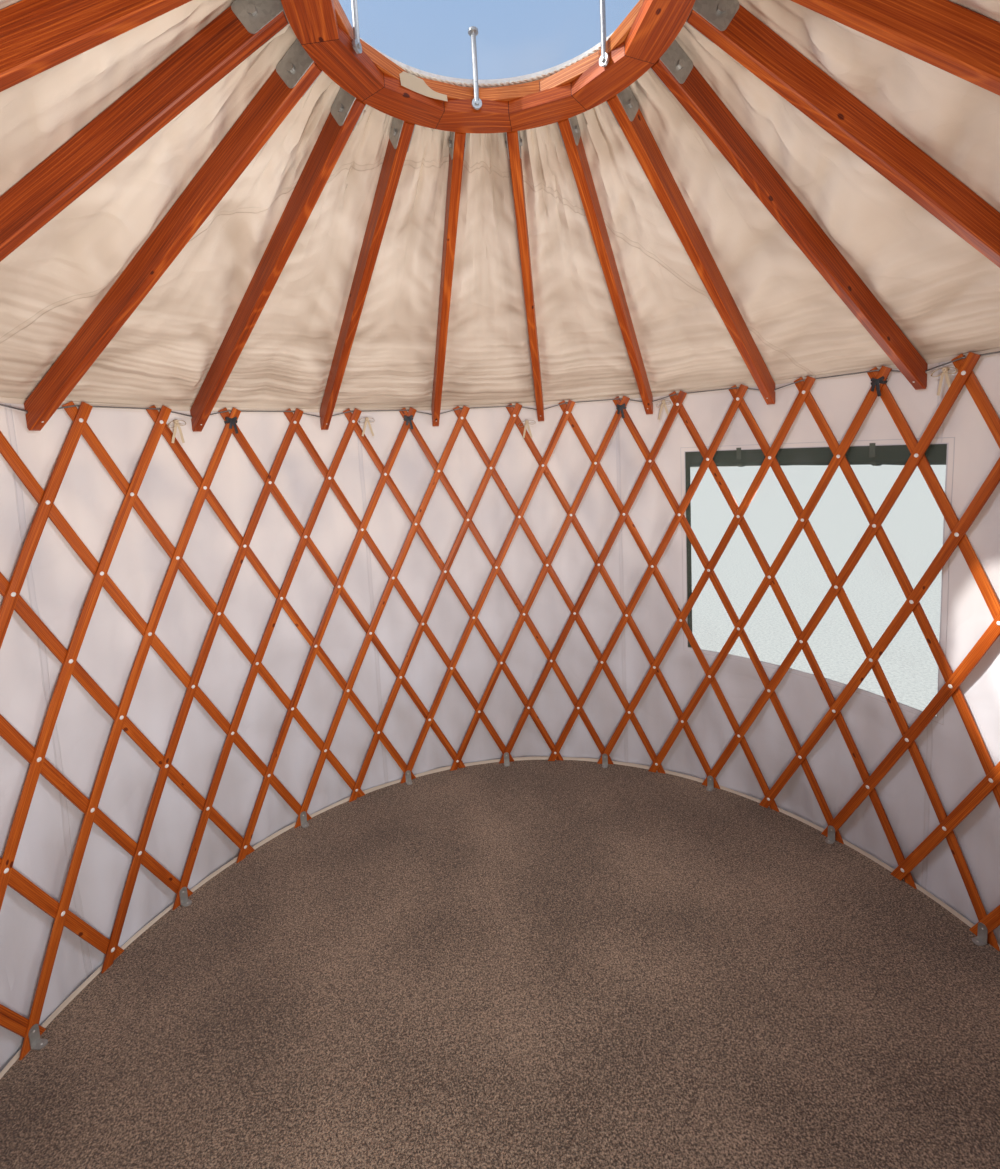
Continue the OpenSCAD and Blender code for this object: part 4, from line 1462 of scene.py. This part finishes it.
@dataclass
class Ties:
    """Small fastenings: straps and tape bows on the lattice's top, and screws.

    Attributes:
        straps: azimuths of the straps, in degrees.
        bows: azimuth of each bow in degrees, and its height over the top rivets.
        strap_w: width of a strap.
        tape_w: width of the tape.
        screw_r: radius of a screw's head.
    """

    plan: Plan
    shop: Workshop
    straps: tuple[float, ...] = (-45, -15, 25, 65)
    bows: tuple[tuple[float, float], ...] = ((-53, 0.002), (-22.6, 0.012), (7.3, -0.040), (32.6, 0.020),
                                             (73, 0.022))
    strap_w: float = 0.014
    tape_w: float = 0.0115
    screw_r: float = 0.0042
    black: Plain = Plain("strap_black", (0.018, 0.018, 0.020), 0.5)
    cream: Canvas = Canvas("tape_cotton", (0.66, 0.54, 0.38), (0.44, 0.34, 0.22), 0.2)
    steel: Plain = Plain("screw_steel", (0.62, 0.61, 0.58), 0.3)

    def strap(self, mesh: bmesh.types.BMesh, u: float) -> None:
        """Adds a strap round a crossing of slats, with two loose ends."""
        z = self.plan.head_z + 0.012
        wide = 0.025
        deep = 0.0125
        for lean in (0.011, -0.009):
            line = []
            for k in range(16):
                turn = 2 * math.pi * k / 16
                x = max(-wide, min(wide, 1.5 * wide * math.sin(turn)))
                y = max(-deep, min(deep, 1.5 * deep * math.cos(turn)))
                line.append(Vector((u + x, y, z + lean * x / wide)))
            tube(mesh, line, self.strap_w / 2, 4, closed=True, flat=0.14, broad=Vector((0, 0, 1)))
        for way in (-1, 1):
            line = [Vector((u + way * (0.002 + 0.013 * t), -deep - 0.003 - 0.008 * math.sin(t * 2.4),
                            z + 0.004 - way * 0.012 * t - 0.058 * t)) for t in (0, 0.25, 0.5, 0.75, 1.0)]
            tube(mesh, line, self.strap_w / 2, 4, flat=0.14, broad=Vector((1, 0, 0)))

    def bow(self, mesh: bmesh.types.BMesh, u: float, z: float, number: int) -> None:
        """Adds a bow of tape tied round the cable."""
        tall = 0.044 + 0.006 * (number % 3)
        for way in (-1, 1):
            lean = 0.35 + 0.12 * ((number + way) % 3)
            line = []
            for k in range(13):
                turn = 2 * math.pi * k / 13
                reach = tall * (1 - math.cos(turn)) / 2
                side = 0.012 * math.sin(turn)
                line.append(Vector((u + way * (reach * math.cos(lean) + side * math.sin(lean)),
                                    -0.008 - 0.004 * math.sin(turn / 2), z + side * math.cos(lean)
                                    - reach * math.sin(lean) * (0.5 if way > 0 else 1.0))))
            tube(mesh, line, self.tape_w / 2, 4, closed=True, flat=0.22, broad=Vector((0, 1, 0)))
            swing = 0.022 * (1 + 0.3 * (number % 2))
            tail = [Vector((u + way * (0.002 + swing * t), -0.010 - 0.004 * math.sin(5 * t), z - 0.095 * t))
                    for t in (0, 0.2, 0.4, 0.6, 0.8, 1.0)]
            tube(mesh, tail, self.tape_w / 2, 4, flat=0.22, broad=Vector((1, 0, 0)))
        knot = [Vector((u + 0.0055 * math.cos(t), -0.0110, z + 0.0055 * math.sin(t)))
                for t in (2 * math.pi * k / 8 for k in range(8))]
        tube(mesh, knot, self.tape_w * 0.6, 6, closed=True, flat=0.8, broad=Vector((0, 1, 0)))
        loop = [Vector((u, 0.0065 * math.cos(t), z + 0.0065 * math.sin(t) + 0.002))
                for t in (2 * math.pi * k / 10 for k in range(10))]
        tube(mesh, loop, self.tape_w / 2, 4, closed=True, flat=0.22, broad=Vector((1, 0, 0)))

    def screw(self, mesh: bmesh.types.BMesh, place: Vector, away: Vector) -> None:
        """Adds a low round screw head that faces a direction."""
        turn = away.to_track_quat("Z", "Y").to_matrix().to_4x4()
        turn.translation = place + away * 0.0007
        made = bmesh.ops.create_cone(mesh, cap_ends=True, segments=12, radius1=self.screw_r,
                                     radius2=self.screw_r * 0.6, depth=0.0018, matrix=turn)["verts"]
        flat = [f for f in {f for v in made for f in v.link_faces} if len(f.verts) == 12
                and (f.calc_center_median() - place).dot(away) > 0.001]
        bmesh.ops.inset_individual(mesh, faces=flat, thickness=self.screw_r * 0.22, depth=-0.0006)

    def screws(self) -> bmesh.types.BMesh:
        """Returns the screws under the rafters' tips and on the foot brackets."""
        plan = self.plan
        mesh = bmesh.new()
        under = Vector((0, -math.sin(plan.pitch), -math.cos(plan.pitch)))
        for i in range(plan.rafters):
            az = (i + 0.5) * plan.bay
            r = plan.tip_r - 0.052
            away = Matrix.Rotation(-az, 3, "Z") @ under
            self.screw(mesh, spot(az, r, plan.under_z(r)), away)
        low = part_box("foot_brackets")[0].z
        for i in range(-8, 9):
            az = i * plan.bay
            face = Matrix.Rotation(-az, 3, "Z") @ Vector((0, -1, 0))
            self.screw(mesh, spot(az, plan.lattice_r - 0.0133, plan.foot_z - 0.004), face)
            self.screw(mesh, spot(az, plan.lattice_r - 0.035, low + 0.003), Vector((0, 0, 1)))
        return mesh

    def build(self) -> None:
        """Makes the straps, bows and screws."""
        plan = self.plan
        strapped = bmesh.new()
        for az in self.straps:
            self.strap(strapped, math.radians(az) * plan.lattice_r)
        tied = bmesh.new()
        for number, (az, rise) in enumerate(self.bows):
            self.bow(tied, math.radians(az) * plan.lattice_r, plan.head_z + rise, number)
        for name, mesh, finish, slot in (("lattice_straps", strapped, self.black, "flap_fabric"),
                                         ("tape_bows", tied, self.cream, "roof_fabric")):
            wrap(mesh, plan.lattice_r)
            bmesh.ops.recalc_face_normals(mesh, faces=mesh.faces)
            self.shop.piece(name, mesh, finish, slot)
        self.shop.piece("small_screws", self.screws(), self.steel, "galvanised")


@dataclass
class Frame:
    """Finishes of the pieces that the frame itself holds."""

    shop: Workshop

    def build(self) -> None:
        """Dresses the frame's nodes."""
        shop = self.shop
        rafters = [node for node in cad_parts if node.startswith("rafters_")]
        shop.dress(StainedWood("rafter_wood", Boards.RAFTERS), *rafters)
        pale = {"middle": (0.42, 0.105, 0.022), "light": (0.74, 0.30, 0.085)}
        layers = {"lower": (10, 12, {}), "middle": (25, 12, pale), "upper": (40, 6, pale)}
        for name, (joint, parts, tones) in layers.items():
            wood = StainedWood(f"ring_wood_{name}", Boards.RING, math.radians(joint),
                               2 * math.pi / parts, **tones)
            shop.dress(wood, f"ring_{name}")
        shop.dress(StainedWood("post_wood", Boards.UPRIGHT), "door_posts")
        shop.dress(StainedWood("header_wood", Boards.ACROSS), "door_header", "door_threshold")
        shop.dress(StainedWood("deck_wood", Boards.ACROSS, dark=(0.20, 0.11, 0.055),
                               middle=(0.40, 0.25, 0.14), light=(0.55, 0.38, 0.23)), "floor_deck")
        shop.dress(Zinc("galvanised", (0.47, 0.475, 0.46), (0.32, 0.325, 0.315)),
                   "rafter_hangers", "foot_brackets")
        shop.dress(Zinc("bright_zinc", (0.44, 0.45, 0.46), (0.33, 0.34, 0.35), 0.004, 0.32), "dome_ties")
        shop.dress(Zinc("cable_steel", (0.26, 0.255, 0.25), (0.14, 0.135, 0.13), 0.003, 0.45), "top_cable")
        shop.dress(Plain("rim_plastic", (0.78, 0.79, 0.79), 0.35), "dome_rim")
        shop.dress(Clear("clear_acrylic", (0.93, 0.96, 1.0), 0.6, 0.07), "dome")
        shop.dress(Pile("carpet_pile"), "floor_carpet")


@dataclass
class Studio:
    """The camera at the photograph's place, the lights and a plain floor.

    The camera's numbers come from the lattice's rivets and the rafters' ends in the photograph.

    Attributes:
        place: the camera's place.
        right: direction of the picture's right side.
        up: direction of the picture's top.
        photo_w: the picture's width in pixels.
        photo_h: the picture's height in pixels.
        focus_px: the camera's focal length in those pixels.
        centre_px: the place in the picture that the camera faces.
        sensor: the sensor's height in millimetres.
        sun_place: where the sun's beam comes from.
        sun_aim: the point on the ring that it shines at.
    """

    place: Vector = field(default_factory=lambda: Vector((-0.1163, -1.4946, 2.0643)))
    right: Vector = field(default_factory=lambda: Vector((0.996638, -0.064439, -0.050601)))
    up: Vector = field(default_factory=lambda: Vector((0.057376, 0.108045, 0.992489)))
    photo_w: int = 1000
    photo_h: int = 1169
    focus_px: float = 544.79
    centre_px: tuple[float, float] = (505.99, 509.85)
    sensor: float = 36.0
    sun_place: Vector = field(default_factory=lambda: Vector((-5.3, 0.0, 9.0)))
    sun_aim: Vector = field(default_factory=lambda: Vector((0.30, 0.0, 2.95)))

    def camera(self) -> None:
        """Makes the camera."""
        data = bpy.data.cameras.new("camera")
        data.sensor_fit = "VERTICAL"
        data.sensor_width = data.sensor_height = self.sensor
        data.lens = self.focus_px / self.photo_h * self.sensor
        data.shift_x = (self.photo_w / 2 - self.centre_px[0]) / self.photo_h
        data.shift_y = (self.centre_px[1] - self.photo_h / 2) / self.photo_h
        data.clip_start = 0.02
        made = bpy.data.objects.new("camera", data)
        back = self.right.cross(self.up)
        turn = Matrix((self.right, self.up, back)).transposed().to_4x4()
        turn.translation = self.place
        made.matrix_world = turn
        bpy.context.scene.collection.objects.link(made)
        bpy.context.scene.camera = made

    def area(self, name: str, place: Sequence[float], aim: Sequence[float], size: tuple[float, float],
             power: float, colour: Colour, spread: float = 180.0) -> None:
        """Adds a soft light.

        Args:
            name: the light's name.
            place: where it is.
            aim: the point that it shines at.
            size: its width and height.
            power: its power in watts.
            colour: its colour.
            spread: the angle in degrees over which it shines.
        """
        data = bpy.data.lights.new(name, "AREA")
        data.spread = math.radians(spread)
        data.shape = "RECTANGLE"
        data.size, data.size_y = size
        data.energy = power
        data.color = colour
        made = bpy.data.objects.new(name, data)
        made.location = place
        made.rotation_mode = "QUATERNION"
        made.rotation_quaternion = (Vector(aim) - Vector(place)).to_track_quat("-Z", "Y")
        made.visible_camera = False
        bpy.context.scene.collection.objects.link(made)

    def lamp(self, name: str, kind: str, power: float) -> bpy.types.Light:
        """Adds a warm light that shines from the sun's side at the ring, and returns its data."""
        data = bpy.data.lights.new(name, kind)
        data.energy = power
        data.color = (1.0, 0.92, 0.80)
        made = bpy.data.objects.new(name, data)
        made.location = self.sun_place
        made.rotation_mode = "QUATERNION"
        made.rotation_quaternion = (self.sun_aim - self.sun_place).to_track_quat("-Z", "Y")
        bpy.context.scene.collection.objects.link(made)
        return data

    def sky(self) -> None:
        """Makes a plain sky, blue overhead and white at the horizon."""
        world = bpy.data.worlds.new("sky")
        world.use_nodes = True
        tree = world.node_tree
        place = tree.nodes.new("ShaderNodeTexCoord")
        split = tree.nodes.new("ShaderNodeSeparateXYZ")
        ramp = tree.nodes.new("ShaderNodeValToRGB")
        ramp.color_ramp.elements[0].position = 0.10
        ramp.color_ramp.elements[0].color = (0.66, 0.665, 0.63, 1.0)
        ramp.color_ramp.elements[1].position = 0.75
        ramp.color_ramp.elements[1].color = (0.30, 0.48, 0.76, 1.0)
        tree.links.new(place.outputs["Generated"], split.inputs[0])
        tree.links.new(split.outputs["Z"], ramp.inputs[0])
        back = tree.nodes["Background"]
        tree.links.new(ramp.outputs[0], back.inputs[0])
        back.inputs[1].default_value = 1.0
        bpy.context.scene.world = world

    def lights(self) -> None:
        """Makes the sun, the beam that it sends through the dome, and the soft lights."""
        self.lamp("sun", "SUN", 2.8).angle = math.radians(1.2)
        beam = self.lamp("sun_beam", "SPOT", 8000.0)
        beam.spot_size = math.radians(6.4)
        beam.spot_blend = 0.25
        beam.shadow_soft_size = 0.08
        self.area("door_light", (0.15, -1.62, 1.30), (-0.9, 0.8, 2.0), (0.5, 1.2), 28, (1.0, 0.93, 0.86), 130)
        self.area("window_light", (1.36, 0.97, 1.45), (-0.6, -0.2, 2.2), (0.7, 0.7), 9, (1.0, 0.98, 0.96))
        self.area("dome_light", (0.0, 0.0, 3.10), (0.0, 0.0, 0.0), (0.45, 0.45), 19, (0.66, 0.82, 1.0))
        self.area("crown_light", (0.0, 0.0, 3.42), (0.0, 0.0, 0.0), (0.40, 0.40), 0.8, (0.90, 0.95, 1.0))
        self.area("roof_glow", (0.5, -0.9, 0.9), (0.9, 0.7, 2.6), (0.8, 0.8), 9, (1.0, 0.80, 0.64))

    def floor(self, shop: Workshop) -> None:
        """Makes the plain floor that the yurt stands on."""
        mesh = bmesh.new()
        bmesh.ops.create_circle(mesh, cap_ends=True, segments=96, radius=40.0)
        data = bpy.data.meshes.new("ground")
        mesh.to_mesh(data)
        mesh.free()
        made = bpy.data.objects.new("ground", data)
        made.location.z = -0.001
        bpy.context.scene.collection.objects.link(made)
        made.data.materials.append(shop.finish_of(Plain("ground_paint", (0.76, 0.74, 0.66), 0.9)))

    def build(self, shop: Workshop) -> None:
        """Makes the whole studio."""
        bpy.context.scene.view_settings.view_transform = "Standard"
        self.camera()
        self.sky()
        self.lights()
        self.floor(shop)


def main() -> None:
    """Builds every sub-assembly."""
    logging.basicConfig(level=logging.INFO, format="%(name)s: %(message)s")
    plan = Plan()
    shop = Workshop()
    Studio().build(shop)
    Frame(shop).build()
    LatticeWall(plan, shop).build()
    WallCover(plan, shop).build()
    RoofCover(plan, shop).build()
    CrownFlap(plan, shop).build()
    Windows(plan, shop).build()
    Ties(plan, shop).build()


if __name__ == "__main__":
    main()
